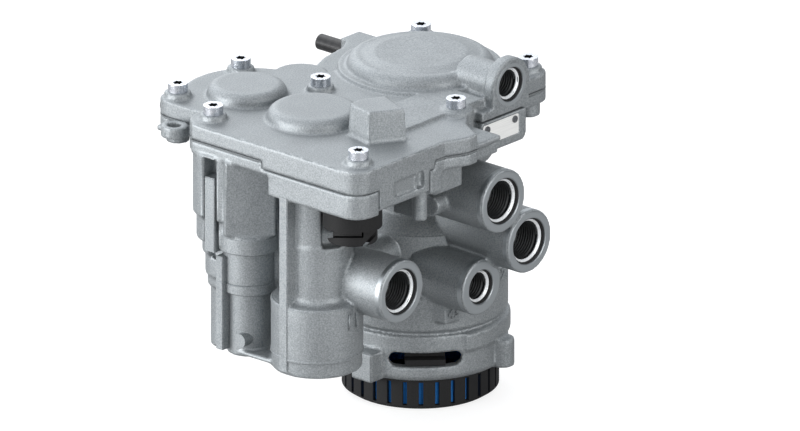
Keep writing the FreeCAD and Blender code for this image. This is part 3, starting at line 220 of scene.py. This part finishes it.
def turned_aluminium(name, base, roughness):
    """The same alloy where a tool has cut it: brighter and smoother, with fine turning lines."""
    m = new_material(name)
    where = add(m, "TexCoord").outputs["Object"]
    # Feed marks of 0.1 mm, drawn at 0.4 mm
    lines = add(m, "TexNoise", {"Scale": 2500.0, "Detail": 2.0}, Vector=where)
    rough = add(m, "MapRange", {"From Min": 0.3, "From Max": 0.7, "To Min": roughness - 0.05,
                                "To Max": roughness + 0.05}, Value=lines.outputs["Fac"])
    bump = add(m, "Bump", {"Strength": 0.1, "Distance": 0.00005}, Height=lines.outputs["Fac"])
    shader = add(m, "BsdfPrincipled", {"Base Color": linear(base), "Metallic": 1.0},
                 Roughness=rough.outputs["Result"], Normal=bump.outputs["Normal"])
    return finish_material(m, shader)


def chamfer_with_painted_highlight():
    """The chamfer a tool has just cut at the mouth of a thread, bright from the cut and painted almost white
    as a highlight against the dark bore.
    """
    m = new_material("chamfer_with_painted_highlight")
    where = add(m, "TexCoord").outputs["Object"]
    smear = add(m, "TexNoise", {"Scale": 400.0, "Detail": 2.0}, Vector=where)
    tone = ramp(m, smear.outputs["Fac"], [(0.3, linear("#E4E7E9")), (0.7, linear("#F6F8F9"))])
    shader = add(m, "BsdfPrincipled", {"Metallic": 0.3, "Roughness": 0.4}, Base_Color=tone)
    return finish_material(m, shader)


def painted_shade_dark():
    """Cut thread and the hollows of bores and sockets, painted nearly black for the shade deep inside them,
    with a dull gleam on the crests.
    """
    m = new_material("painted_shade_dark")
    where = add(m, "TexCoord").outputs["Object"]
    smear = add(m, "TexNoise", {"Scale": 600.0, "Detail": 3.0}, Vector=where)
    tone = ramp(m, smear.outputs["Fac"], [(0.35, linear("#0E1011")), (0.75, linear("#24282A"))])
    shader = add(m, "BsdfPrincipled", {"Metallic": 0.3, "Roughness": 0.5}, Base_Color=tone)
    return finish_material(m, shader)


def zinc_steel():
    """Bright zinc-plated steel: cold white with a faint blue, smooth, its edges slightly rolled."""
    m = new_material("zinc_steel")
    where = add(m, "TexCoord").outputs["Object"]
    # Plating clouds of 1 to 2 mm
    cloud = add(m, "TexNoise", {"Scale": 700.0, "Detail": 3.0}, Vector=where)
    tone = ramp(m, cloud.outputs["Fac"], [(0.3, linear("#C9CDD6")), (0.7, linear("#E2E5EA"))])
    rough = add(m, "MapRange", {"From Min": 0.3, "From Max": 0.7, "To Min": 0.18, "To Max": 0.3},
                Value=cloud.outputs["Fac"])
    edge = add(m, "Bevel", {"samples": 6, "Radius": 0.0003})
    shader = add(m, "BsdfPrincipled", {"Metallic": 1.0}, Base_Color=tone, Roughness=rough.outputs["Result"],
                 Normal=edge.outputs["Normal"])
    return finish_material(m, shader)


def black_steel():
    """Steel with a black conversion coat: near black, satin, a little brighter where it is rubbed."""
    m = new_material("black_steel")
    where = add(m, "TexCoord").outputs["Object"]
    cloud = add(m, "TexNoise", {"Scale": 500.0, "Detail": 4.0}, Vector=where)
    tone = ramp(m, cloud.outputs["Fac"], [(0.35, linear("#1A1A1B")), (0.75, linear("#2B2B2C"))])
    edge = add(m, "Bevel", {"samples": 6, "Radius": 0.0004})
    bump = add(m, "Bump", {"Strength": 0.2, "Distance": 0.00005}, Height=cloud.outputs["Fac"],
               Normal=edge.outputs["Normal"])
    shader = add(m, "BsdfPrincipled", {"Metallic": 0.3, "Roughness": 0.42}, Base_Color=tone,
                 Normal=bump.outputs["Normal"])
    return finish_material(m, shader)


def black_nylon():
    """Glass-filled nylon, moulded: black with a fine matte spark texture."""
    m = new_material("black_nylon")
    where = add(m, "TexCoord").outputs["Object"]
    # Spark texture of 0.2 mm, drawn at 0.5 mm
    grain = add(m, "TexNoise", {"Scale": 2000.0, "Detail": 2.0}, Vector=where)
    tone = ramp(m, grain.outputs["Fac"], [(0.35, linear("#0C0C0D")), (0.7, linear("#171718"))])
    edge = add(m, "Bevel", {"samples": 6, "Radius": 0.0004})
    bump = add(m, "Bump", {"Strength": 0.3, "Distance": 0.0001}, Height=grain.outputs["Fac"],
               Normal=edge.outputs["Normal"])
    shader = add(m, "BsdfPrincipled", {"Roughness": 0.7, "IOR": 1.4}, Base_Color=tone,
                 Normal=bump.outputs["Normal"])
    return finish_material(m, shader)


def black_rubber():
    """Nitrile rubber: deep black and dull."""
    m = new_material("black_rubber")
    where = add(m, "TexCoord").outputs["Object"]
    grain = add(m, "TexNoise", {"Scale": 1500.0, "Detail": 2.0}, Vector=where)
    bump = add(m, "Bump", {"Strength": 0.2, "Distance": 0.0001}, Height=grain.outputs["Fac"])
    shader = add(m, "BsdfPrincipled", {"Base Color": linear("#161617"), "Roughness": 0.7, "IOR": 1.52},
                 Normal=bump.outputs["Normal"])
    return finish_material(m, shader)


def gasket_board():
    """Fibre gasket board: grey, dull, with short fibres."""
    m = new_material("gasket_board")
    where = add(m, "TexCoord").outputs["Object"]
    fibre = add(m, "TexNoise", {"Scale": 1800.0, "Detail": 3.0}, Vector=where)
    tone = ramp(m, fibre.outputs["Fac"], [(0.3, linear("#5A5E60")), (0.7, linear("#7A7E80"))])
    shader = add(m, "BsdfPrincipled", {"Roughness": 0.85}, Base_Color=tone)
    return finish_material(m, shader)


def blue_fleece():
    """Needled polyester fleece, dyed blue: soft, without gloss, its fibres about 0.4 mm apart."""
    m = new_material("blue_fleece")
    where = add(m, "TexCoord").outputs["Object"]
    fibre = add(m, "TexNoise", {"Scale": 2500.0, "Detail": 4.0, "Distortion": 1.5}, Vector=where)
    tone = ramp(m, fibre.outputs["Fac"], [(0.3, linear("#1C6DBE")), (0.7, linear("#2F8AE0"))])
    bump = add(m, "Bump", {"Strength": 0.8, "Distance": 0.0003}, Height=fibre.outputs["Fac"])
    shader = add(m, "BsdfPrincipled", {"Roughness": 0.95}, Base_Color=tone, Normal=bump.outputs["Normal"])
    return finish_material(m, shader)


def plate_aluminium():
    """Rolled aluminium sheet, clear lacquered: pale, with fine lines along its length."""
    m = new_material("plate_aluminium")
    where = add(m, "TexCoord").outputs["Object"]
    # Rolling lines of 0.1 mm, drawn at 0.3 mm, that run along the plate
    stretched = add(m, "Mapping", {"Scale": (60.0, 3000.0, 3000.0)}, Vector=where)
    lines = add(m, "TexNoise", {"Scale": 1.0, "Detail": 3.0}, Vector=stretched.outputs["Vector"])
    tone = ramp(m, lines.outputs["Fac"], [(0.3, linear("#E2E2E0")), (0.7, linear("#F0F0EE"))])
    bump = add(m, "Bump", {"Strength": 0.1, "Distance": 0.00005}, Height=lines.outputs["Fac"])
    shader = add(m, "BsdfPrincipled", {"Metallic": 0.2, "Roughness": 0.45}, Base_Color=tone,
                 Normal=bump.outputs["Normal"])
    return finish_material(m, shader)


def valve_brass():
    """Free-cutting brass, turned."""
    m = new_material("valve_brass")
    where = add(m, "TexCoord").outputs["Object"]
    cloud = add(m, "TexNoise", {"Scale": 900.0, "Detail": 2.0}, Vector=where)
    tone = ramp(m, cloud.outputs["Fac"], [(0.3, linear("#B99345")), (0.7, linear("#D2AE62"))])
    shader = add(m, "BsdfPrincipled", {"Metallic": 1.0, "Roughness": 0.3}, Base_Color=tone)
    return finish_material(m, shader)


def spring_steel():
    """Oiled spring wire, drawn: dark grey and smooth."""
    m = new_material("spring_steel")
    where = add(m, "TexCoord").outputs["Object"]
    cloud = add(m, "TexNoise", {"Scale": 900.0, "Detail": 2.0}, Vector=where)
    tone = ramp(m, cloud.outputs["Fac"], [(0.3, linear("#5E6063")), (0.7, linear("#7E8083"))])
    shader = add(m, "BsdfPrincipled", {"Metallic": 1.0, "Roughness": 0.35}, Base_Color=tone)
    return finish_material(m, shader)


# Makers of pieces

def as_mesh(name, shape):
    """Mesh of a finished shape, which this uses up."""
    mesh = bpy.data.meshes.new(name)
    shape.to_mesh(mesh)
    shape.free()
    return mesh


def as_object(name, data):
    """A mesh, or the curve of a figure, placed in the scene."""
    item = bpy.data.objects.new(name, data)
    bpy.context.scene.collection.objects.link(item)
    return item


def evaluated(item):
    """An object as its modifiers leave it."""
    bpy.context.view_layer.update()
    return item.evaluated_get(bpy.context.evaluated_depsgraph_get())


def as_piece(name, mesh, material, body=HOUSING):
    """Give a finished mesh its object, material and body."""
    piece = as_object(name, mesh)
    mesh.materials.clear()
    mesh.materials.append(material)
    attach(piece, body)
    return piece


def dress(node, material):
    """Keep a CAD node as it is and give it its finish."""
    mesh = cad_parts[node].data
    mesh.materials.clear()
    mesh.materials.append(material)


def cut_away(name, node, cutters):
    """Mesh of a CAD node, its corners merged, without what closed cutter shapes take out of it."""
    shape = bmesh.new()
    shape.from_mesh(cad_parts[node].data)
    bmesh.ops.remove_doubles(shape, verts=shape.verts, dist=WELD)
    whole = as_object(name + "_whole", as_mesh(name, shape))
    tools = []
    for cutter in cutters:
        tool = as_object("cutter", as_mesh("cutter", cutter))
        cut = whole.modifiers.new("cut", "BOOLEAN")
        cut.operation = "DIFFERENCE"
        cut.solver = "EXACT"
        cut.object = tool
        tools.append(tool)
    result = bpy.data.meshes.new_from_object(evaluated(whole))
    result.name = name
    for spare in [whole, *tools]:
        bpy.data.objects.remove(spare)
    return result


def cast_form(name, node, material, cell, triangles, extras, cutters):
    """A cast solid with its edges and corners run soft; extras are closed shapes fused on before that."""
    base = cut_away(name + "_base", node, cutters)
    shape = bmesh.new()
    shape.from_mesh(base)
    bpy.data.meshes.remove(base)
    for extra in extras:
        mesh = as_mesh("extra", extra)
        shape.from_mesh(mesh)
        bpy.data.meshes.remove(mesh)
    rough = as_object(name + "_rough", as_mesh(name, shape))
    fuse = rough.modifiers.new("fuse", "REMESH")
    fuse.mode = "VOXEL"
    fuse.voxel_size = cell * MM
    soften = rough.modifiers.new("soften", "SMOOTH")
    soften.factor = 0.5
    soften.iterations = SOFT_PASSES
    # Each cell's face becomes two triangles
    count = 2 * len(evaluated(rough).data.polygons)
    thin = rough.modifiers.new("thin", "DECIMATE")
    thin.ratio = min(1.0, triangles / count)
    weigh = rough.modifiers.new("weigh", "WEIGHTED_NORMAL")
    weigh.weight = 50
    skin = bpy.data.meshes.new_from_object(evaluated(rough))
    skin.name = name
    bpy.data.objects.remove(rough)
    for face in skin.polygons:
        face.use_smooth = True
    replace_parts(as_piece(name, skin, material), node)


def turned(profile, steps):
    """Ring or disc about +Z, from a closed profile of (radius, height), in millimetres."""
    shape = bmesh.new()
    corners = [shape.verts.new((radius * MM, 0, height * MM)) for radius, height in profile]
    for first, second in zip(corners, corners[1:] + corners[:1]):
        shape.edges.new((first, second))
    bmesh.ops.spin(shape, geom=shape.verts[:] + shape.edges[:], cent=(0, 0, 0), axis=(0, 0, 1),
                   angle=2 * math.pi, steps=steps, use_merge=True)
    bmesh.ops.remove_doubles(shape, verts=shape.verts, dist=WELD)
    bmesh.ops.recalc_face_normals(shape, faces=shape.faces)
    return shape


def stand(shape, centre, axis):
    """Move a shape made about +Z to its centre, and turn it to its axis."""
    turn = Vector((0, 0, 1)).rotation_difference(Vector(axis)).to_matrix().to_4x4()
    bmesh.ops.transform(shape, matrix=Matrix.Translation(centre) @ turn, verts=shape.verts)


def spun(name, profile, centre, axis, material):
    """A piece turned from a closed profile of (radius, height along the axis)."""
    shape = turned(profile, 96)
    stand(shape, centre, axis)
    as_piece(name, as_mesh(name, shape), material)


def block(corner, opposite):
    """Closed box between two opposite corners, in the drawing's millimetres."""
    shape = bmesh.new()
    bmesh.ops.create_cube(shape, size=1.0)
    low, high = place(*corner), place(*opposite)
    for axis in range(3):
        for point in shape.verts:
            point.co[axis] = low[axis] if point.co[axis] < 0 else high[axis]
    return shape


def barrel(start, end, start_r, end_r):
    """Closed cylinder or cone from one point of the drawing to another."""
    first, last = place(*start), place(*end)
    shape = bmesh.new()
    bmesh.ops.create_cone(shape, cap_ends=True, segments=64, radius1=start_r * MM, radius2=end_r * MM,
                          depth=(last - first).length)
    stand(shape, (first + last) / 2, last - first)
    return shape


def sector(centre, radius, start, end, low, high):
    """Closed slice of an upright cylinder between two angles in degrees."""
    steps = 24
    outline = [place(*centre, low)]
    for step in range(steps + 1):
        angle = math.radians(start + (end - start) * step / steps)
        outline.append(place(centre[0] + radius * math.cos(angle), centre[1] + radius * math.sin(angle), low))
    shape = bmesh.new()
    bottom = [shape.verts.new(point) for point in outline]
    top = [shape.verts.new(point + Vector((0, 0, (high - low) * MM))) for point in outline]
    shape.faces.new(bottom)
    shape.faces.new(top)
    for now in range(len(outline)):
        after = (now + 1) % len(outline)
        shape.faces.new((bottom[now], bottom[after], top[after], top[now]))
    bmesh.ops.recalc_face_normals(shape, faces=shape.faces)
    return shape


def lathe(x, y, z, profile):
    """Closed ring about an upright axis, from a closed profile of (radius, height)."""
    shape = turned(profile, 64)
    bmesh.ops.translate(shape, vec=place(x, y, z), verts=shape.verts)
    return shape


def fillet_ring(x, y, z, inner, size):
    """Closed hollow-faced ring, which softens the corner where a column stands on a step."""
    return lathe(x, y, z, ((inner - 1, 0), (inner + size, 0), (inner + size * 0.3, size * 0.3), (inner, size),
                           (inner - 1, size)))


def thread(name, centre, radius, material):
    """Helical ridge of an inner thread, its axis along -Y, from the mouth inwards."""
    steps = 48
    foot = 0.48 * THREAD_PITCH
    crest = 0.08 * THREAD_PITCH
    tall = 0.55 * THREAD_PITCH
    shape = bmesh.new()
    corners = [shape.verts.new((r * MM, 0, h * MM)) for r, h in
               ((radius + 0.1, -foot), (radius - tall, -crest), (radius - tall, crest), (radius + 0.1, foot))]
    for first, second in zip(corners, corners[1:] + corners[:1]):
        shape.edges.new((first, second))
    bmesh.ops.spin(shape, geom=shape.verts[:] + shape.edges[:], cent=(0, 0, 0), axis=(0, 0, 1),
                   dvec=(0, 0, -THREAD_PITCH * MM / steps), angle=2 * math.pi * THREAD_TURNS,
                   steps=steps * THREAD_TURNS)
    bmesh.ops.recalc_face_normals(shape, faces=shape.faces)
    stand(shape, centre, (0, -1, 0))
    as_piece(name, as_mesh(name, shape), material)


def carved(name, node, material, cutters):
    """A CAD node with small cuts in it; each cutter is a closed shape, which this uses up."""
    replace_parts(as_piece(name, cut_away(name, node, cutters), material), node)


def ridge(name, corner, opposite, material):
    """Straight rib with narrow rounded edges, between two opposite corners in the drawing."""
    shape = block(corner, opposite)
    bmesh.ops.bevel(shape, geom=shape.edges[:], offset=0.4 * MM, segments=2, affect="EDGES")
    as_piece(name, as_mesh(name, shape), material)


def sighted_box(centre, across, upward, deep, turn=0.0):
    """Closed box seen face on by the camera; centre is in the drawing, turn is in the picture's plane."""
    shape = bmesh.new()
    bmesh.ops.create_cube(shape, size=1.0)
    for point in shape.verts:
        right = point.co.x * across
        up = point.co.y * upward
        flat = PHOTO_RIGHT * (right * math.cos(turn) - up * math.sin(turn))
        tall = PHOTO_UP * (right * math.sin(turn) + up * math.cos(turn))
        point.co = place(*centre) + (flat + tall + PHOTO_NEAR * (point.co.z * deep)) * MM
    bmesh.ops.recalc_face_normals(shape, faces=shape.faces)
    return shape


def figure(name, text, where, height, facing, material):
    """Raised cast figure; facing is the direction its front looks at."""
    curve = bpy.data.curves.new(name, "FONT")
    curve.body = text
    curve.size = height * 1.4 * MM
    curve.extrude = 0.35 * MM
    curve.bevel_depth = 0.15 * MM
    curve.bevel_resolution = 1
    curve.offset = 0.12 * MM
    curve.align_x = "CENTER"
    curve.align_y = "CENTER"
    holder = as_object(name, curve)
    front = Vector(facing).normalized()
    upward = Vector((0, 0, 1)) if abs(front.z) < 0.9 else Vector((0, 1, 0))
    across = upward.cross(front).normalized()
    upward = front.cross(across)
    axes = Matrix((across, upward, front)).transposed().to_4x4()
    mesh = bpy.data.meshes.new_from_object(evaluated(holder))
    mesh.name = name
    mesh.transform(Matrix.Translation(place(*where)) @ axes)
    bpy.data.objects.remove(holder)
    as_piece(name, mesh, material)


make_camera()
soft_box("left_light", (-1.0, 0.3, 0.1), 10.5, 0.9, 0.35)
soft_box("rear_light", (0.35, 0.8, 0.7), 3.6, 0.8, 0.8)
soft_box("front_light", (-0.1, -1.1, 0.25), 7.5, 0.9, 0.7)

cast = cast_aluminium()
turned_metal = turned_aluminium("turned_aluminium", "#D3D6D8", 0.28)
face_metal = turned_aluminium("faced_aluminium", "#A9AEB1", 0.42)
highlight_chamfer_metal = chamfer_with_painted_highlight()
# Near-black metal: painted shade inside the ports and the screws' sockets
shade_dark_metal = painted_shade_dark()
zinc = zinc_steel()
nylon = black_nylon()
rubber = black_rubber()
spring = spring_steel()
brass = valve_brass()

# Small cast forms that the housing's solid leaves out: wider rib and top of the throttle column, rings on
# the check column, bosses of the numbers and soft corners where a column stands on a step
housing_extras = [
    sector(THROTTLE, 16.6, 120, 230, -2.0, 26.0),
    block((7.4, -114.5, -68.5), (20.0, -104.0, -58.9)),
    block((44.0, -114.5, -57.0), (54.5, -104.0, -49.5)),
    barrel((-9.0, -119.0, 0.2), (6.6, -119.0, 0.2), 5.2, 5.2),
    fillet_ring(THROTTLE[0], THROTTLE[1], -31.0, 17.3, 3.0),
    fillet_ring(THROTTLE[0], THROTTLE[1], -1.0, 12.5, 2.5),
    fillet_ring(RELAY[0], RELAY[1], -56.0, 34.0, 4.0),
]
# The pin boss stands further round the check column, and the top barrel sinks into the round of the relay
# dome, so both are cut there before the castings are run soft
pin_room = block((-100.0, -70.4, -64.4), (-94.9, -62.2, -55.6))
barrel_room = lathe(RELAY[0], RELAY[1], 0, (
    (0.5, 58.9), (23.0, 58.9), (29.0, 57.7), (30.5, 57.3), (31.5, 58.5), (31.5, 70.0), (0.5, 70.0)))
cast_form("main_body_cast", "main_body", cast, BODY_CELL, BODY_TRIANGLES, housing_extras, [pin_room])
cast_form("top_cover_cast", "top_cover", cast, COVER_CELL, COVER_TRIANGLES, [], [barrel_room])

# Straight ribs of the left side, whose edges stay crisp
ridge("throttle_rib", (-100.2, -105.5, -65.8), (-90.0, -100.0, 26.5), cast)
ridge("left_fin_upper", (-99.8, -57.1, -14.6), (-92.0, -50.4, 24.5), cast)
ridge("left_fin_lower", (-99.4, -62.1, -64.9), (-90.0, -57.5, -15.7), cast)

# CAD nodes that keep their own form
for node in ("relay_piston", "valve_guide", "hand_brake_piston", "throttle_piston", "column_plug",
             "check_plug"):
    dress(node, turned_metal)
for node in ("relay_seal", "guide_seal", "hand_brake_seal", "throttle_seal", "vent_flap"):
    dress(node, rubber)
dress("cover_gasket", gasket_board())
for node in ("valve_spring", "hand_brake_spring", "throttle_spring", "check_spring"):
    dress(node, spring)
for node in ("relay_valve", "check_valve"):
    dress(node, brass)
for node in ("end_plate", "retaining_ring", "column_ring", "cover_screws"):
    dress(node, zinc)


def paint_socket_shade(material):
    """Give the faces inside the screws' sockets the near-black material: painted shade in the hollow of each
    socket.
    """
    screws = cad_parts["cover_screws"].data
    screws.materials.append(material)
    top = place(0, 0, HEAD_TOP).z
    for face in screws.polygons:
        depth = top - face.center.z
        for screw in SCREWS:
            away = (face.center - place(*screw, 0)).to_2d().length
            if away < SOCKET_REACH * MM and SOCKET_TOP * MM < depth < SOCKET_FLOOR * MM:
                face.material_index = 1


# Painted shade in the screws' sockets
paint_socket_shade(shade_dark_metal)
dress("nameplate", plate_aluminium())
dress("nameplate_rivets", spring)
dress("mounting_studs", black_steel())

# Vent cap: a slot, a notch and a slanted gap under its collar, which show as black lines from the front
CAP_FRONT = Vector((CAP[0], CAP[1], 6.3)) + PHOTO_NEAR * 12.0


def cap_cut(right, up, across, upward, deep, turn=0.0):
    """A cutter at a place to the right of and above the middle of the cap's front, in millimetres."""
    return sighted_box(CAP_FRONT + PHOTO_RIGHT * right + PHOTO_UP * up, across, upward, deep, turn)


carved("vent_cap_cut", "vent_cap", nylon, [
    cap_cut(-2.5, 0.0, 14.8, 0.9, 14.0),
    cap_cut(5.0, 1.0, 0.8, 2.6, 14.0),
    cap_cut(-12.2, 1.3, 5.0, 3.4, 40.0),
    cap_cut(9.2, -0.7, 11.0, 1.4, 14.0, math.radians(48)),
])
dress("silencer_cage", nylon)
dress("silencer_filter", blue_fleece())

# Hose ports: name, middle of the face, and the radii of its boss, its mouth and its thread's core
PORTS = (
    ("port_22", (15.5, -146.0, 2.6), 16.25, 11.9, 10.25),
    ("port_12", (35.0, -146.0, -24.0), 16.25, 11.9, 10.25),
    ("port_11", (-60.5, -146.0, -24.0), 16.25, 11.9, 10.25),
    ("port_43", (16.0, -131.0, -46.6), 14.4, 8.9, 7.25),
    ("port_42", (35.0, -134.0, 56.0), 13.8, 8.9, 7.25),
)

for name, centre, boss_r, mouth_r, core_r in PORTS:
    middle = place(*centre)
    # The upper port's rim is flat; the others are rounded over the edge of the boss
    if name == "port_42":
        rim = [(mouth_r, -MOUTH_DEPTH), (mouth_r, -0.3), (mouth_r + 0.3, 0.05), (boss_r - 3.0, 0.05),
               (boss_r - 2.6, -0.1), (mouth_r + 1, -2.4)]
    else:
        rim = [(mouth_r, -MOUTH_DEPTH), (mouth_r, -0.3), (mouth_r + 0.4, 0.1), (boss_r - 1.3, 0.1),
               (boss_r - 0.75, -0.05), (boss_r - 0.3, -0.45), (boss_r, -1.1), (boss_r, -3.4),
               (mouth_r + 1, -3.4)]
    spun(name + "_face", rim, middle, (0, -1, 0), face_metal)
    # A black rubber ring in the mouth: a dark piece that stands for the shade in the undercut behind the
    # face's lip, seen as a black crescent
    spun(name + "_seal", [
        (mouth_r - 0.1, -0.7), (mouth_r - 0.1, -2.3), (mouth_r - 0.9, -2.3), (mouth_r - 0.7, -1.3),
        (mouth_r - 0.4, -0.8)], middle, (0, -1, 0), rubber)
    # The thread's shoulder in the near-white chamfer finish: bright cut metal with a painted highlight
    spun(name + "_shoulder", [
        (mouth_r - 0.7, -3.0), (mouth_r - 0.7, -2.2), (mouth_r - 0.9, -2.1), (core_r - 0.3, -3.0),
        (core_r - 0.3, -3.5), (core_r + 0.1, -3.6)], middle, (0, -1, 0), highlight_chamfer_metal)
    # A near-black sleeve over the casting's bore wall, and the thread in the same material: painted shade
    # deep inside the port
    spun(name + "_bore_shade_sleeve", [
        (core_r - 0.1, -3.5), (core_r - 0.1, -16.5), (core_r + 0.2, -16.5), (core_r + 0.2, -3.5)],
         middle, (0, -1, 0), shade_dark_metal)
    thread(name + "_thread", middle + Vector((0, THREAD_START * MM, 0)), core_r, shade_dark_metal)

# Machined-sharp steps of the two front columns, over the soft casting: profiles from the top down
spun("check_column_steps", [
    (9.0, -4.2), (14.7, -4.2), (15.5, -4.9), (15.5, -12.3), (15.0, -12.9), (13.2, -12.9), (13.1, -13.3),
    (13.1, -29.2), (12.7, -29.6), (13.3, -30.1), (13.3, -34.4), (12.8, -34.9), (11.3, -34.9), (11.1, -35.4),
    (11.1, -66.4), (9.0, -67.4)], place(*CHECK, 0), (0, 0, 1), cast)
spun("relay_wall_shelf", [
    (31.4, -24.4), (32.4, -25.2), (32.9, -26.3), (33.8, -26.3), (34.35, -26.9), (34.35, -55.6), (32.0, -55.6),
    (31.0, -30.0)], place(*RELAY, 0), (0, 0, 1), cast)
spun("throttle_column_band", [
    (21.0, -57.6), (22.6, -58.0), (23.2, -58.7), (23.2, -59.4), (22.2, -60.0), (21.0, -60.2)],
     place(*THROTTLE, 0), (0, 0, 1), cast)
spun("throttle_column_step", [
    (16.0, -29.6), (17.6, -29.9), (18.6, -31.0), (22.4, -31.4), (23.1, -32.2), (23.1, -33.4), (21.0, -33.6),
    (16.0, -33.6)], place(*THROTTLE, 0), (0, 0, 1), cast)
pin = barrel((-97.0, -71.3, -58.1), (-90.0, -71.3, -58.1), 3.5, 3.5)
as_piece("check_column_pin", as_mesh("check_column_pin", pin), cast)

# Raised numbers of the ports
figure("number_11", "11", (-75.6, -127.6, -40.0), 8.0, (0.05, -1, 0), cast)
figure("number_43", "43", (14.2, -114.6, -63.8), 5.6, (0, -1, 0), cast)
figure("number_12", "12", (49.2, -114.6, -53.2), 5.0, (0, -1, 0), cast)


def lay_floor():
    """A plain white studio floor under the silencer; it is white to the camera and in reflections."""
    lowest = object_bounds()[0].z
    shape = bmesh.new()
    bmesh.ops.create_grid(shape, x_segments=1, y_segments=1, size=3.0)
    # Half a millimetre below the valve, so that no faces share a plane
    bmesh.ops.translate(shape, vec=(0, 0, lowest - 0.5 * MM), verts=shape.verts)
    mesh = as_mesh("floor", shape)
    floor = as_object("floor", mesh)
    m = new_material("white_floor")
    rays = add(m, "LightPath")
    seen = add(m, "MapRange", {"To Max": 0.8}, Value=rays.outputs["Is Camera Ray"])
    mirrored = add(m, "MapRange", {"To Max": 0.15}, Value=rays.outputs["Is Glossy Ray"])
    glow = add(m, "Math", {"operation": "ADD"})
    m.node_tree.links.new(seen.outputs["Result"], glow.inputs[0])
    m.node_tree.links.new(mirrored.outputs["Result"], glow.inputs[1])
    shader = add(m, "BsdfPrincipled", {"Base Color": linear("#8C8C8C"), "Roughness": 1.0,
                                       "Emission Color": linear("#FFFFFF")},
                 Emission_Strength=glow.outputs["Value"])
    mesh.materials.append(finish_material(m, shader))


lay_floor()

def light_world():
    """Soft light all round, brighter overhead and behind the left side, dim at the front right."""
    world = bpy.data.worlds.new("studio")
    bpy.context.scene.world = world
    world.use_nodes = True
    world.node_tree.nodes.clear()
    where = add(world, "TexCoord").outputs["Generated"]
    facing = add(world, "VectorMath", {"operation": "DOT_PRODUCT"}, Vector=where)
    facing.inputs[1].default_value = BRIGHT_SIDE
    level = add(world, "MapRange", {"From Min": -0.6, "From Max": 0.9, "To Min": 0.04, "To Max": 1.8},
                Value=facing.outputs["Value"])
    fill = add(world, "Background", {"Color": linear("#F8FBFF")}, Strength=level.outputs["Result"])
    add(world, "OutputWorld", Surface=fill.outputs["Background"])


light_world()
bpy.context.scene.view_settings.view_transform = "Standard"
